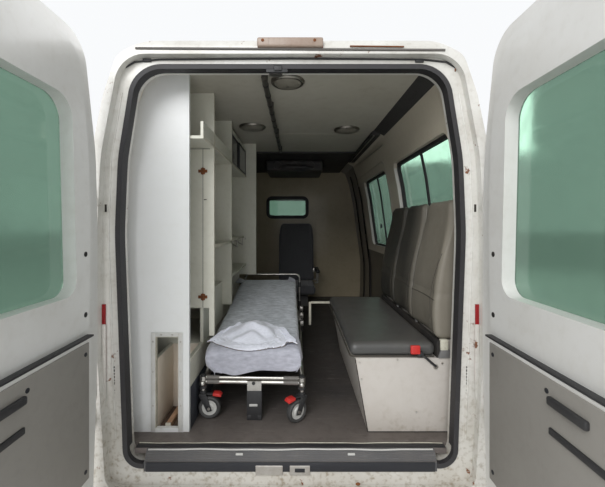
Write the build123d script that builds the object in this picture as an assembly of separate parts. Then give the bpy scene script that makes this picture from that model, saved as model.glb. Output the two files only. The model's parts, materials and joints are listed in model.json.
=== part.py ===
from build123d import *
import os
from math import cos, pi, radians, sin

# High-roof panel-van ambulance, in millimetres: +Y forward, +X to the vehicle's right, +Z up.
# Every Y below is an offset ahead of the rear door plane; the whole model moves by REAR_Y at the end.

# Overall sizes
HALF_WIDTH = 999
ROOF_Z = 2500
SILL_Z = 330
NOSE = 5550
WHEELBASE = 3700
REAR_AXLE = 940
FRONT_AXLE = REAR_AXLE + WHEELBASE
FRONT_BOW = 1000
WALL = 60
SEAT = 0.3
GAP = 6

# Load space
FLOOR_Z = 555
FLOOR_THICK = 25
FLOOR_BACK = 30
FLOOR_LIP_HALF = 728
TREAD_HALF = 670
CEILING_Z = 2350
CEILING_THICK = 16
ROOF_SPLIT = 2330
REAR_WALL = 75
BULKHEAD = 3390
BULKHEAD_THICK = 18
CAB_BACK = 3430
BOARD = 18

# Rear doorway and its two doors
POST_DEPTH = 40
DOORWAY_HALF = 786
DOORWAY_TOP = 2315
DOORWAY_SILL = 500
SEAL_OUT = 14
SEAL_IN = 8
SEAL_LIP = 40
REAR_DOOR_EDGE = 855
REAR_DOOR_BOTTOM = 415
REAR_DOOR_TOP = 2355
REAR_DOOR_SKIN = 28
REAR_DOOR_BOX = 30
REAR_DOOR_CARD = 24
REAR_HINGE_X = 880
REAR_HINGE_Y = -POST_DEPTH - 14
REAR_OPEN_ANGLE = 90
HINGE_PIN = 9
REAR_HINGE_HEIGHTS = (740, 1710)

# Wheels
TYRE_R = 345
TYRE_HALF = 102
TRACK_HALF = 860
RIM_R = 188
RIM_HALF = 92
ARCH_R = TYRE_R + 55
LINER = 12
HUB_FACE = TRACK_HALF + 8
SPINDLE_R = 32
KINGPIN_X = 800

# The doors' reach behind and the nose set the place of the origin, under the middle of the whole
DOOR_REACH = REAR_HINGE_X - GAP / 2 - REAR_HINGE_Y
REAR_Y = -(NOSE - 34 - DOOR_REACH) / 2


def outline(rows):
    """Face from rows of first coordinate, second coordinate and corner radius."""
    corners = [(a, b) for a, b, _ in rows]
    return make_face(FilletPolyline(*corners, radius=[r for _, _, r in rows], close=True))


def both_sides(half):
    """Rows of a half outline, followed by their mirror image back to the start."""
    return half + [(-a, b, r) for a, b, r in reversed(half) if a]


def grown(face, amount):
    """Face made larger by an amount on every side, with its corners kept."""
    return offset(face, amount=amount, kind=Kind.INTERSECTION) if amount else face


def across(face, x0, x1):
    """Solid of a side-view face, extruded over the width."""
    return extrude(Plane.YZ.offset(x0) * face, amount=x1 - x0)


def along(face, y0, y1):
    """Solid of a rear-view face, extruded over the length."""
    return extrude(Plane.XZ.offset(-y1) * face, amount=y1 - y0)


def upward(face, z0, z1):
    """Solid of a plan-view face, extruded over the height."""
    return extrude(Plane.XY.offset(z0) * face, amount=z1 - z0)


def block(x0, x1, y0, y1, z0, z1):
    """Box between two corners."""
    centre = Pos((x0 + x1) / 2, (y0 + y1) / 2, (z0 + z1) / 2)
    return centre * Box(x1 - x0, y1 - y0, z1 - z0)


def rounded(x0, x1, y0, y1, z0, z1, radius):
    """Box between two corners with all its edges rounded."""
    shape = block(x0, x1, y0, y1, z0, z1)
    return fillet(shape.edges(), radius)


def rod(start, end, radius):
    """Round bar between two points."""
    reach = Vector(*end) - Vector(*start)
    return Solid.make_cylinder(radius, reach.length, Plane(start, z_dir=reach))


def tube(points, radius, bend):
    """Round bar that follows straight runs joined by arcs."""
    path = FilletPolyline(*points, radius=bend)
    return sweep(Plane(path @ 0, z_dir=path % 0) * Circle(radius), path=path)


def joined(shapes):
    """Union of several solids."""
    total = shapes[0]
    for shape in shapes[1:]:
        total += shape
    return total


def mirrored(shape):
    """Mirror image on the other side of the vehicle."""
    return mirror(shape, about=Plane.YZ)


def pair(shape):
    """A right-hand solid together with its left-hand image."""
    return shape + mirrored(shape)


# Outlines of the body: side view, half rear view and half plan view
def side_view(bottom):
    """Rows of offset, height and corner radius."""
    return [
        (-POST_DEPTH, bottom, 0),
        (-POST_DEPTH, ROOF_Z - 60, 60),
        (1300, ROOF_Z, 2500),
        (3500, ROOF_Z, 600),
        (3900, ROOF_Z - 100, 300),
        (SCREEN_TOP, SCREEN_TOP_Z, 60),
        (SCREEN_FOOT, SCREEN_FOOT_Z, 60),
        (NOSE - 150, 1130, 250),
        (NOSE - 20, 930, 120),
        (NOSE, 560, 80),
        (NOSE - 10, bottom, 0),
    ]


def rear_view(bottom):
    """Rows of half width, height and corner radius."""
    return both_sides([
        (HALF_WIDTH - 29, bottom, 0),
        (HALF_WIDTH, 700, 300),
        (HALF_WIDTH, 1100, 400),
        (HALF_WIDTH - 106, 1902, 900),
        (HALF_WIDTH - 163, 2180, 300),
        (HALF_WIDTH - 223, ROOF_Z - 142, 90),
        (600, ROOF_Z - 50, 500),
        (0, ROOF_Z, 2000),
    ])


def plan_view():
    """Rows of half width, offset and corner radius."""
    return both_sides([
        (HALF_WIDTH + 4, -POST_DEPTH, 70),
        (HALF_WIDTH + 4, 3300, 1500),
        (HALF_WIDTH - 24, 4700, 900),
        (HALF_WIDTH - 99, NOSE - 320, 250),
        (640, NOSE - 110, 400),
        (0, NOSE + 10, 2500),
    ])


SCREEN_TOP = 4330
SCREEN_TOP_Z = 2040
SCREEN_FOOT = 5010
SCREEN_FOOT_Z = 1300
BOW_SPLIT = 3200
CLEAR = 3000


def body_form(inset, bottom=SILL_Z):
    """The body's outer form, drawn in by an inset: straight behind the cab and bowed ahead of it."""
    side = Plane.YZ * grown(outline(side_view(bottom)), -inset)
    rear = Plane.XZ.offset(-2 * CLEAR) * grown(outline(rear_view(bottom)), -inset)
    plan = Plane.XY * grown(outline(plan_view()), -inset)
    middle = BOW_SPLIT + 100
    straight = extrude(side, amount=CLEAR / 2, both=True)
    straight &= block(-CLEAR, CLEAR, -CLEAR, middle, -CLEAR, CLEAR)
    front = side & (Plane.YZ * Pos(BOW_SPLIT + CLEAR, 0) * Rectangle(2 * CLEAR, 2 * CLEAR))
    turn = Axis((0, FRONT_BOW, 0), (0, 0, 1))
    bowed = revolve(front.faces()[0], axis=turn, revolution_arc=60).rotate(turn, -30)
    bowed &= block(-CLEAR, CLEAR, middle, 3 * CLEAR, -CLEAR, CLEAR)
    core = extrude(rear, amount=3 * CLEAR) & extrude(plan, amount=CLEAR)
    return core & (straight + bowed)


outer = body_form(0)
inner = body_form(WALL, SILL_Z - WALL - GAP)
lining = body_form(WALL + SEAT, SILL_Z - WALL - GAP)
cab_lining = body_form(WALL + GAP + 2, SILL_Z - WALL - GAP)
shell = outer - inner
GLASS_FACE = 3
GLASS_BACK = 9
pane_back = body_form(GLASS_BACK)
pane_shell = body_form(GLASS_FACE) - pane_back


def zone(y0, y1, z0, z1):
    """Full-width box used to take a stretch of the body."""
    return block(-CLEAR / 2, CLEAR / 2, y0, y1, z0, z1)


# Rear doorway: rows of half width, height and corner radius
doorway = outline(both_sides([
    (748, DOORWAY_SILL, 70),
    (762, 900, 600),
    (DOORWAY_HALF, 1560, 1500),
    (DOORWAY_HALF - 14, 1902, 900),
    (DOORWAY_HALF - 80, DOORWAY_TOP, 140),
]))
rear_leaf_rows = [
    (REAR_DOOR_EDGE - 35, REAR_DOOR_BOTTOM, 60),
    (REAR_DOOR_EDGE, 1000, 600),
    (REAR_DOOR_EDGE, 1600, 1500),
    (REAR_DOOR_EDGE - 13, 1902, 900),
    (REAR_DOOR_EDGE - 98, REAR_DOOR_TOP, 130),
]
door_recess = grown(outline(both_sides(rear_leaf_rows)), GAP)

# Tail lamp in the corner post
LAMP_BOTTOM = 820
LAMP_TOP = 1233
LAMP_INNER = REAR_DOOR_EDGE + GAP + 5
lamp_zone = block(LAMP_INNER, CLEAR / 2, -POST_DEPTH - 40, REAR_WALL - 10, LAMP_BOTTOM, LAMP_TOP)
lamp_lens = (body_form(-6) - body_form(16)) & lamp_zone
lamp_flange = block(REAR_DOOR_EDGE - 10, REAR_DOOR_EDGE + GAP, -6, 0, LAMP_BOTTOM + 60, LAMP_TOP)
third_lamp = block(-144, 144, -POST_DEPTH - 12, 6, ROOF_Z - 115, ROOF_Z - 75) - outer
tail_lamps = pair(lamp_lens) + pair(lamp_flange) + third_lamp

rear_frame = outer & zone(-POST_DEPTH, REAR_WALL, 0, CLEAR)
rear_frame -= along(doorway, -2 * POST_DEPTH, 2 * REAR_WALL)
rear_frame -= along(door_recess, -2 * POST_DEPTH, 0)
rear_frame -= pair(lamp_lens)
tail_lamps -= rear_frame


def knuckle(x, y, z0, z1, radius=HINGE_PIN):
    """Upright hinge barrel."""
    return rod((x, y, z0), (x, y, z1), radius)


LEAF = 4
BARREL = 24
for height in REAR_HINGE_HEIGHTS:
    for z0 in (height - 1.5 * BARREL, height + 0.5 * BARREL + SEAT):
        leaf = block(REAR_HINGE_X, REAR_HINGE_X + 70, -POST_DEPTH - LEAF, -POST_DEPTH, z0, z0 + BARREL - SEAT)
        arm = block(REAR_HINGE_X, REAR_HINGE_X + LEAF, REAR_HINGE_Y, -POST_DEPTH, z0, z0 + BARREL - SEAT)
        fixed = knuckle(REAR_HINGE_X, REAR_HINGE_Y, z0, z0 + BARREL - SEAT)
        rear_frame += pair(fixed + leaf + arm)

rear_door_seal = along(grown(doorway, SEAL_OUT), -9, 0) + along(doorway, 0, 15)
rear_door_seal += along(doorway, 15, SEAL_LIP) & zone(0, REAR_WALL, FLOOR_Z + 20, CLEAR)
rear_door_seal -= along(grown(doorway, -SEAL_IN), -20, REAR_WALL)

# Side windows: first offset, last offset; both share their heights
WINDOW_LOW = 1370
WINDOW_HIGH = 2081
WINDOW_R = 60
REAR_WINDOW = (188, 1180)
SLIDE_WINDOW = (1443, 2382)
GASKET = 20
GASKET_DEPTH = 26
DIVIDER = 16


def window_face(span):
    """Side-view outline of one window of the load space."""
    y0, y1 = span
    rows = [(y0, WINDOW_LOW), (y1, WINDOW_LOW), (y1, WINDOW_HIGH), (y0, WINDOW_HIGH)]
    return outline([(y, z, WINDOW_R) for y, z in rows])


frame_shell = pane_back - body_form(GLASS_BACK + GASKET_DEPTH)
bar_shell = pane_back - body_form(GLASS_BACK + GASKET_DEPTH / 2)


def window_gasket(span):
    """Rubber frame inside a window, with its upright divider."""
    face = window_face(span)
    middle = (span[0] + span[1]) / 2
    frame = across(grown(face, -SEAT) - grown(face, -GASKET), 0, CLEAR / 2)
    bar = across(grown(face, -GASKET), 0, CLEAR / 2)
    bar &= block(0, CLEAR / 2, middle - DIVIDER / 2, middle + DIVIDER / 2, 0, CLEAR)
    return (frame & frame_shell) + (bar & bar_shell)


def window_pane(face):
    """Glass that fills a side-view opening on the right-hand side."""
    return pane_shell & across(grown(face, -SEAT), 0, CLEAR / 2)


window_cuts = joined([across(window_face(span), 500, CLEAR / 2) for span in (REAR_WINDOW, SLIDE_WINDOW)])
rubber_seals = rear_door_seal + window_gasket(REAR_WINDOW) + window_gasket(SLIDE_WINDOW)

# Sliding door on the right: rows of offset, height and corner radius
SLIDE_BACK = 1400
SLIDE_FRONT = 2720
SLIDE_LOW = 470
SLIDE_HIGH = 2150
slide_face = outline([
    (SLIDE_BACK, SLIDE_LOW, 60),
    (SLIDE_FRONT, SLIDE_LOW, 60),
    (SLIDE_FRONT, SLIDE_HIGH, 110),
    (SLIDE_BACK, SLIDE_HIGH, 110),
])
sliding_door = shell & across(slide_face, 500, CLEAR / 2)
sliding_door -= window_cuts
RUNNER = 70
slide_x = HALF_WIDTH - WALL
for y0 in (SLIDE_BACK + 120, SLIDE_FRONT - 190):
    sliding_door += block(slide_x + 5, slide_x + 25, y0, y0 + RUNNER, SLIDE_LOW - GAP, SLIDE_LOW + GAP)
handle = block(HALF_WIDTH - 20, HALF_WIDTH + 22, SLIDE_BACK + 60, SLIDE_BACK + 230, 1085, 1125)
sliding_door += fillet(handle.edges().filter_by(Axis.Y), 8) - inner

# Side walls of the load space, with the rear wheel arches
arch_rear = rod((-CLEAR / 2, REAR_AXLE, TYRE_R), (CLEAR / 2, REAR_AXLE, TYRE_R), ARCH_R)
walls = shell & zone(REAR_WALL, CAB_BACK, 0, ROOF_SPLIT)
walls -= arch_rear
side_panel_left = walls & block(-CLEAR / 2, 0, -CLEAR, 3 * CLEAR, 0, CLEAR)
side_panel_right = walls & block(0, CLEAR / 2, -CLEAR, 3 * CLEAR, 0, CLEAR)
side_panel_right -= across(grown(slide_face, GAP), 500, CLEAR / 2)
side_panel_right -= window_cuts
rail_slot = block(HALF_WIDTH - 30, CLEAR / 2, 330, SLIDE_BACK - GAP, 1232, 1262)
side_panel_right -= rail_slot

roof_panel = shell & zone(REAR_WALL, 2 * CLEAR, ROOF_SPLIT, CLEAR)

# Floor with the rear wheel boxes
HOUSE_X = 700
HOUSE_R = ARCH_R + 20
house_outside = rod((HOUSE_X, REAR_AXLE, TYRE_R), (CLEAR / 2, REAR_AXLE, TYRE_R), HOUSE_R)
house_inside = rod((HOUSE_X + 12, REAR_AXLE, TYRE_R), (CLEAR / 2, REAR_AXLE, TYRE_R), ARCH_R)
wheel_house = (house_outside - house_inside) & zone(0, 2 * CLEAR, FLOOR_Z - FLOOR_THICK, CLEAR) & lining
floor_pan = lining & zone(REAR_WALL, CAB_BACK, FLOOR_Z - FLOOR_THICK, FLOOR_Z)
floor_lip = block(-FLOOR_LIP_HALF, FLOOR_LIP_HALF, FLOOR_BACK, REAR_WALL, FLOOR_Z - FLOOR_THICK, FLOOR_Z)
cab_floor = cab_lining & zone(CAB_BACK, 4248, FLOOR_Z - FLOOR_THICK, FLOOR_Z)
floor_pan = floor_pan + floor_lip + cab_floor - pair(house_outside) + pair(wheel_house)

# Sill cover in the doorway, ribbed lengthwise, and the rear bumper
TREAD_RIBS = 6
TREAD_DROP = FLOOR_Z - 42
tread_rows = [(FLOOR_BACK, FLOOR_Z, 0)]
for rib in range(TREAD_RIBS):
    share = (rib + 0.5) / TREAD_RIBS
    y_rib = FLOOR_BACK * (1 - share) - 3 * share
    z_rib = FLOOR_Z + (TREAD_DROP - FLOOR_Z) * share
    tread_rows += [(y_rib + 1.5, z_rib + 1.5, 0), (y_rib, z_rib - 2.5, 0)]
tread_rows += [
    (-5, TREAD_DROP, 0),
    (-5, TREAD_DROP - 43, 0),
    (-SEAT, TREAD_DROP - 43, 0),
    (-SEAT, DOORWAY_SILL + SEAT, 0),
    (FLOOR_BACK, DOORWAY_SILL + SEAT, 0),
]
rear_step = across(outline(tread_rows), -TREAD_HALF, TREAD_HALF)
tread_room = TREAD_HALF + SEAT
rubber_seals -= block(-tread_room, tread_room, -30, FLOOR_BACK, DOORWAY_SILL - 40, FLOOR_Z + 5)

bumper_band = body_form(-14, 250) - body_form(24, 200)
rear_bumper = bumper_band & zone(-CLEAR, REAR_WALL, 270, REAR_DOOR_BOTTOM - 10)
rear_bumper -= outer
rear_bumper += block(-420, 420, -POST_DEPTH - 62, -POST_DEPTH - 10, 300, 380)

# Lock strikers: a plate and a loop at the sill, and one catch in the head of the doorway
STRIKER_LOW = 455
STRIKER_HIGH = 499
NOSE_FACE = -5
NOSE_LOW = TREAD_DROP - 43
lock_strikers = rounded(-159, -35, -10, NOSE_FACE - SEAT, STRIKER_LOW, STRIKER_HIGH, 2)
lock_strikers += rounded(-3, 89, -10, NOSE_FACE - SEAT, STRIKER_LOW, STRIKER_HIGH, 2)
lock_strikers -= block(20, 66, -11, 0, STRIKER_LOW + 14, STRIKER_HIGH - 12)
for x0, x1 in ((-150, -44), (6, 80)):
    lock_strikers += block(x0, x1, NOSE_FACE - 1, -SEAT, STRIKER_LOW + 2, NOSE_LOW - 2)
lock_strikers += block(-101, -41, SEAL_LIP + SEAT, REAR_WALL - 12, DOORWAY_TOP - 14, DOORWAY_TOP - SEAT)

# Rear door, right hand, drawn closed and then swung about its hinge
door_skin_back = -POST_DEPTH + REAR_DOOR_SKIN
door_box_back = door_skin_back + REAR_DOOR_BOX
leaf_face = outline([(GAP / 2, REAR_DOOR_BOTTOM, 0)] + rear_leaf_rows + [(GAP / 2, REAR_DOOR_TOP, 0)])
box_face = grown(doorway, -30) & (Pos(12 + CLEAR / 2, 565 + CLEAR / 2) * Rectangle(CLEAR, CLEAR))
REAR_GLASS_ROWS = [(105, 1330, 60), (668, 1330, 60), (640, 2070, 90), (105, 2070, 60)]
rear_glass_face = outline(REAR_GLASS_ROWS)
card_face = outline([(50, 600, 30), (700, 600, 50), (718, 1151, 20), (50, 1151, 20)])
rear_leaf = along(leaf_face, -POST_DEPTH, door_skin_back)
rear_leaf += along(box_face, door_skin_back, door_box_back)
rear_leaf -= along(rear_glass_face, -CLEAR, CLEAR)
HOLE_R = 9
for z_hole in (1240, 1480):
    rear_leaf -= rod((722, 0, z_hole), (722, CLEAR, z_hole), HOLE_R)
for height in REAR_HINGE_HEIGHTS:
    z0, z1 = height - 0.5 * BARREL + SEAT, height + 0.5 * BARREL - SEAT
    strap = block(REAR_DOOR_EDGE - 90, REAR_HINGE_X, -POST_DEPTH - LEAF, -POST_DEPTH, z0, z1)
    arm = block(REAR_HINGE_X - LEAF, REAR_HINGE_X, REAR_HINGE_Y, -POST_DEPTH, z0, z1)
    rear_leaf += strap + arm + knuckle(REAR_HINGE_X, REAR_HINGE_Y, z0, z1)
rear_card = along(card_face, door_box_back, door_box_back + REAR_DOOR_CARD)
rear_pane = along(grown(rear_glass_face, -SEAT), -POST_DEPTH + 3, -POST_DEPTH + 8)
rear_handle = rounded(30, 190, -POST_DEPTH - 12, -POST_DEPTH + 1, 1085, 1125, 5) - along(leaf_face, -POST_DEPTH, 0)
hinge_line = Axis((REAR_HINGE_X, REAR_HINGE_Y, 0), (0, 0, 1))


def swung(shape):
    """Rear door piece at its open rest."""
    return shape.rotate(hinge_line, REAR_OPEN_ANGLE)


rear_door_right = swung(rear_leaf + rear_card + rear_handle)
rear_door_left = mirrored(swung(rear_leaf + rear_card))
rear_glass_right = swung(rear_pane)

# Cab doors: rows of offset, height and corner radius
CAB_HINGE_X = 1001
CAB_HINGE_Y = 4323
cab_door_face = outline([
    (CAB_BACK + 16, 470, 60),
    (4216, 470, 40),
    (4216, 740, 60),
    (4320, 860, 60),
    (4320, 1480, 60),
    (4060, 1975, 80),
    (CAB_BACK + 16, 1975, 60),
])
cab_window_face = outline([
    (CAB_BACK + 70, 1345, 40),
    (4266, 1345, 40),
    (4266, 1468, 50),
    (4036, 1915, 60),
    (CAB_BACK + 70, 1915, 50),
])
quarter_face = outline([(4372, 1345, 25), (4740, 1345, 25), (4400, 1740, 25)])
CAB_HINGE_HEIGHTS = (920, 1280)
door_right = shell & across(cab_door_face, 600, CLEAR / 2)
door_right -= across(cab_window_face, 500, CLEAR / 2)
for height in CAB_HINGE_HEIGHTS:
    z0, z1 = height - 0.5 * BARREL + SEAT, height + 0.5 * BARREL - SEAT
    ear = block(CAB_HINGE_X - 60, CAB_HINGE_X, CAB_HINGE_Y - 60, CAB_HINGE_Y - 4, z0, z1)
    door_right += knuckle(CAB_HINGE_X, CAB_HINGE_Y, z0, z1) + (ear - inner)
cab_handle = rounded(HALF_WIDTH - 22, HALF_WIDTH + 14, CAB_BACK + 50, CAB_BACK + 200, 1060, 1095, 8)
door_right += cab_handle - inner
mirror_arm = block(925, 1075, 4276, 4306, 1385, 1410)
mirror_head = rounded(1050, 1215, 4245, 4310, 1330, 1660, 24)
door_right += mirror_arm + mirror_head

# Cab shell: screen, bonnet, lamps and grille openings cut from the same form
screen_face = outline(both_sides([(815, SCREEN_FOOT_Z + 35, 90), (735, SCREEN_TOP_Z - 40, 90)]))
BONNET_BACK = 4045
BONNET_FRONT = 4470
BONNET_HALF = 770
BONNET_LOW = 1030
BONNET_THICK = 25


def bonnet_plan(spare):
    """Plan of the bonnet: a band about the bow's centre, cut to its width."""
    ring = Circle(BONNET_FRONT + spare) - Circle(BONNET_BACK - spare)
    width = 2 * (BONNET_HALF + spare)
    return (Pos(0, FRONT_BOW) * ring) & (Pos(0, 2 * CLEAR) * Rectangle(width, 2 * CLEAR))


bonnet = (outer - body_form(BONNET_THICK)) & upward(bonnet_plan(0), BONNET_LOW, CLEAR)
GRILLE_HALF = 390
GRILLE_LOW = 650
GRILLE_HIGH = 990
LAMP_FACE = outline([(420, 780, 40), (800, 760, 50), (836, 985, 60), (440, 1000, 40)])
BUMPER_TOP = 620
BUMPER_BACK = 5070
grille_face = outline(both_sides([(GRILLE_HALF, GRILLE_LOW, 30), (GRILLE_HALF - 10, GRILLE_HIGH, 30)]))
liner_x = 560
arch_front = rod((liner_x, FRONT_AXLE, TYRE_R), (CLEAR / 2, FRONT_AXLE, TYRE_R), ARCH_R)
liner_form = rod((liner_x - LINER, FRONT_AXLE, TYRE_R), (CLEAR / 2, FRONT_AXLE, TYRE_R), ARCH_R + LINER)
liner = inner & (liner_form - arch_front) & zone(0, 3 * CLEAR, SILL_Z + 130, CLEAR)

FIREWALL_LOW = 4250
FIREWALL_HIGH = 4600
SHELF_Z = 830
COWL_Z = 1216
firewall_face = outline([
    (FIREWALL_LOW, FLOOR_Z - FLOOR_THICK, 0),
    (FIREWALL_LOW + 16, FLOOR_Z - FLOOR_THICK, 0),
    (FIREWALL_LOW + 16, SHELF_Z, 0),
    (FIREWALL_HIGH + 16, SHELF_Z, 0),
    (FIREWALL_HIGH + 16, COWL_Z, 0),
    (4985, COWL_Z, 0),
    (4985, COWL_Z + 16, 0),
    (FIREWALL_HIGH, COWL_Z + 16, 0),
    (FIREWALL_HIGH, SHELF_Z + 16, 0),
    (FIREWALL_LOW, SHELF_Z + 16, 0),
])
cab_shell = shell & zone(CAB_BACK, 3 * CLEAR, 0, ROOF_SPLIT)
cab_shell += inner & across(firewall_face, -CLEAR / 2, CLEAR / 2)
cab_shell -= pair(across(grown(cab_door_face, GAP), 600, CLEAR / 2))
cab_shell -= pair(across(quarter_face, 600, CLEAR / 2))
cab_shell -= along(screen_face, 4000, 5400)
cab_shell -= upward(bonnet_plan(GAP), BONNET_LOW - GAP, CLEAR)
cab_shell -= along(grille_face, 5200, 6000)
cab_shell -= pair(along(LAMP_FACE, 4985, 6000))
cab_shell -= zone(BUMPER_BACK, 3 * CLEAR, 0, BUMPER_TOP)
cab_shell -= pair(arch_front)
cab_shell += pair(liner)
for height in CAB_HINGE_HEIGHTS:
    for z0 in (height - 1.5 * BARREL, height + 0.5 * BARREL + SEAT):
        z1 = z0 + BARREL - SEAT
        ear = block(CAB_HINGE_X - 60, CAB_HINGE_X, CAB_HINGE_Y + 3, CAB_HINGE_Y + 40, z0, z1)
        cab_shell += pair(knuckle(CAB_HINGE_X, CAB_HINGE_Y, z0, z1) + (ear - inner))

# Bonnet hinges: fixed lugs on the cowl and arched lugs on the bonnet, on one line
BONNET_HINGE_Y = 4968
BONNET_HINGE_Z = 1318
for x in (-584, 560):
    fixed_pin = rod((x, BONNET_HINGE_Y, BONNET_HINGE_Z), (x + BARREL, BONNET_HINGE_Y, BONNET_HINGE_Z), HINGE_PIN)
    fixed_lug = block(x, x + BARREL, BONNET_HINGE_Y - 9, BONNET_HINGE_Y + 9, BONNET_HINGE_Z - 40, BONNET_HINGE_Z)
    cab_shell += fixed_pin + fixed_lug
    x0 = x + BARREL + SEAT if x > 0 else x - BARREL - SEAT
    moving_pin = rod((x0, BONNET_HINGE_Y, BONNET_HINGE_Z), (x0 + BARREL, BONNET_HINGE_Y, BONNET_HINGE_Z), HINGE_PIN)
    arch = block(x0, x0 + BARREL, BONNET_HINGE_Y, BONNET_HINGE_Y + 72, BONNET_HINGE_Z - 8, BONNET_HINGE_Z)
    leg = block(x0, x0 + BARREL, BONNET_HINGE_Y + 52, BONNET_HINGE_Y + 72, BONNET_HINGE_Z - 62, BONNET_HINGE_Z)
    bonnet += moving_pin + arch + leg

windscreen = pane_shell & along(grown(screen_face, -SEAT), 4000, 5400)
cab_pane = window_pane(cab_window_face)
quarter_panes = pair(window_pane(quarter_face))

# Grille: a surround and level bars that follow the nose
grille_form = body_form(2) - body_form(34)
grille = grille_form & along(grown(grille_face, -SEAT) - grown(grille_face, -26), 5200, 6000)
GRILLE_BARS = 7
for bar in range(GRILLE_BARS):
    z_bar = GRILLE_LOW + 26 + (GRILLE_HIGH - GRILLE_LOW - 52) * (bar + 0.5) / GRILLE_BARS
    grille += grille_form & block(-GRILLE_HALF + 20, GRILLE_HALF - 20, 5200, 6000, z_bar - 8, z_bar + 8)
lamp_form = body_form(1) - body_form(50)
headlamps = pair(lamp_form & along(grown(LAMP_FACE, -SEAT), 4985, 6000))
front_bumper = body_form(-10, 250) - body_form(40, 180)
front_bumper &= zone(BUMPER_BACK + 4, 3 * CLEAR, 250, BUMPER_TOP - SEAT)
front_bumper -= along(outline(both_sides([(400, 330, 30), (380, 440, 30)])), 5200, 6000)
front_bumper -= pair(liner_form)

# Bulkhead with pressed ribs and its window
BULK_WINDOW = (-387, 174, 1701, 1975)
bx0, bx1, bz0, bz1 = BULK_WINDOW
bulk_face = outline([(bx0, bz0, 60), (bx1, bz0, 60), (bx1, bz1, 60), (bx0, bz1, 60)])
bulkhead = lining & zone(BULKHEAD, BULKHEAD + BULKHEAD_THICK, FLOOR_Z, CEILING_Z)
RIB_DEEP = 12
for x_rib in (-760, -600, -440, 40, 200, 360, 520, 680):
    top = bz0 - 60 if bx0 - 60 < x_rib < bx1 + 60 else 2068
    rib = outline([(x_rib - 50, 700, 30), (x_rib + 50, 700, 30), (x_rib + 50, top, 49), (x_rib - 50, top, 49)])
    bulkhead += along(rib, BULKHEAD - RIB_DEEP, BULKHEAD) & lining
bulkhead -= along(bulk_face, BULKHEAD - 40, BULKHEAD + 40)
bulk_gasket = along(grown(bulk_face, 24), BULKHEAD - 8, BULKHEAD) + along(grown(bulk_face, -SEAT), BULKHEAD, BULKHEAD + 6)
bulk_gasket -= along(grown(bulk_face, -22), BULKHEAD - 40, BULKHEAD + 40)
bulk_pane = along(grown(bulk_face, -SEAT), BULKHEAD + 6, BULKHEAD + 11)
rubber_seals += bulk_gasket
side_glass = window_pane(window_face(REAR_WINDOW)) + window_pane(window_face(SLIDE_WINDOW))
side_glass += quarter_panes + bulk_pane

# Ceiling: panel, dark trim, lamps, grab rail and cooling unit
ceiling_panel = lining & zone(REAR_WALL + SEAT, BULKHEAD + BULKHEAD_THICK, CEILING_Z, CEILING_Z + CEILING_THICK)
trim_low = CEILING_Z - 15
ceiling_trim = lining & along(outline([(645, CEILING_Z, 0), (728, 2308, 0), (800, 2308, 0), (800, CEILING_Z, 0)]),
                              REAR_WALL + SEAT, 1190)
ceiling_trim += lining & block(-700, 640, 1995, BULKHEAD - RIB_DEEP, trim_low, CEILING_Z)
slide_track = lining & block(640, 700, 1194, 2450, CEILING_Z - 34, CEILING_Z)
ceiling_trim += slide_track
# Ceiling lamps: sideways place, offset and radius
LAMPS = ((-19, 230, 88), (-312, 1071, 100), (422, 1146, 100))
ceiling_lamps = joined([
    Pos(x, y, CEILING_Z - 9) * Cylinder(r, 18) + Pos(x, y, CEILING_Z - 23) * Cylinder(r - 18, 10) for x, y, r in LAMPS
])
RAIL_X = -130
rail_span = (89, 1785)
ceiling_rail = rod((RAIL_X, rail_span[0], CEILING_Z - 40), (RAIL_X, rail_span[1], CEILING_Z - 40), 14)
for share in (0.02, 0.27, 0.62, 0.98):
    y_post = rail_span[0] + (rail_span[1] - rail_span[0]) * share
    ceiling_rail += Pos(RAIL_X, y_post, CEILING_Z - 20) * Cylinder(16, 40)
cooling_unit = rounded(-330, 330, 2350, 2960, trim_low - 130, trim_low - SEAT, 30)
for x_vent in (-220, 0, 220):
    cooling_unit -= block(x_vent - 80, x_vent + 80, 2340, 2362, trim_low - 95, trim_low - 45)

# Cabinet along the left wall
AISLE = -446
END_PANEL = 154
SLOT_OUT = (-702, -539, 549, 1057)
SLOT_IN = (-680, -565, 575, 1034)
LOW_BOX = -512
AISLE_Z = (960, 1016, 1130)


def board(x0, x1, y0, y1, z0, z1):
    """Cabinet board, trimmed to the curved wall."""
    return block(x0, x1, y0, y1, z0, z1) & lining


WALL_X = -HALF_WIDTH
TOP_Z = CEILING_Z - SEAT
BASE_Z = FLOOR_Z + SEAT
END_FACE = END_PANEL + BOARD
BAND_FACE = END_PANEL - 3
# Boards with square edges that touch: x from, x to, offset from, offset to, height from, height to
END_BOARDS = (
    (WALL_X, LOW_BOX, END_PANEL, END_FACE, BASE_Z, SLOT_IN[2]),
    (WALL_X, SLOT_IN[0], END_PANEL, END_FACE, SLOT_IN[2], SLOT_IN[3]),
    (SLOT_IN[1], LOW_BOX, END_PANEL, END_FACE, SLOT_IN[2], SLOT_IN[3]),
    (WALL_X, LOW_BOX, END_PANEL, END_FACE, SLOT_IN[3], TOP_Z),
    (SLOT_OUT[0], SLOT_IN[0], BAND_FACE, END_PANEL, BASE_Z, SLOT_OUT[3]),
    (SLOT_IN[1], SLOT_OUT[1], BAND_FACE, END_PANEL, BASE_Z, SLOT_OUT[3]),
    (SLOT_IN[0], SLOT_IN[1], BAND_FACE, END_PANEL, SLOT_IN[3], SLOT_OUT[3]),
    (SLOT_IN[0], SLOT_IN[1], BAND_FACE, END_PANEL, BASE_Z, SLOT_IN[2]),
)
cabinet_end_panel = Compound([board(*row).solid() for row in END_BOARDS])
shelf_front = END_FACE + SEAT
LOW_FACE = LOW_BOX - BOARD
LOW_TOP = 918
HOUSE_TOP = 770
DIVIDER_A = (398, 416)
DIVIDER_B = (928, 946)
DIVIDER_C = (1641, 1659)
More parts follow.
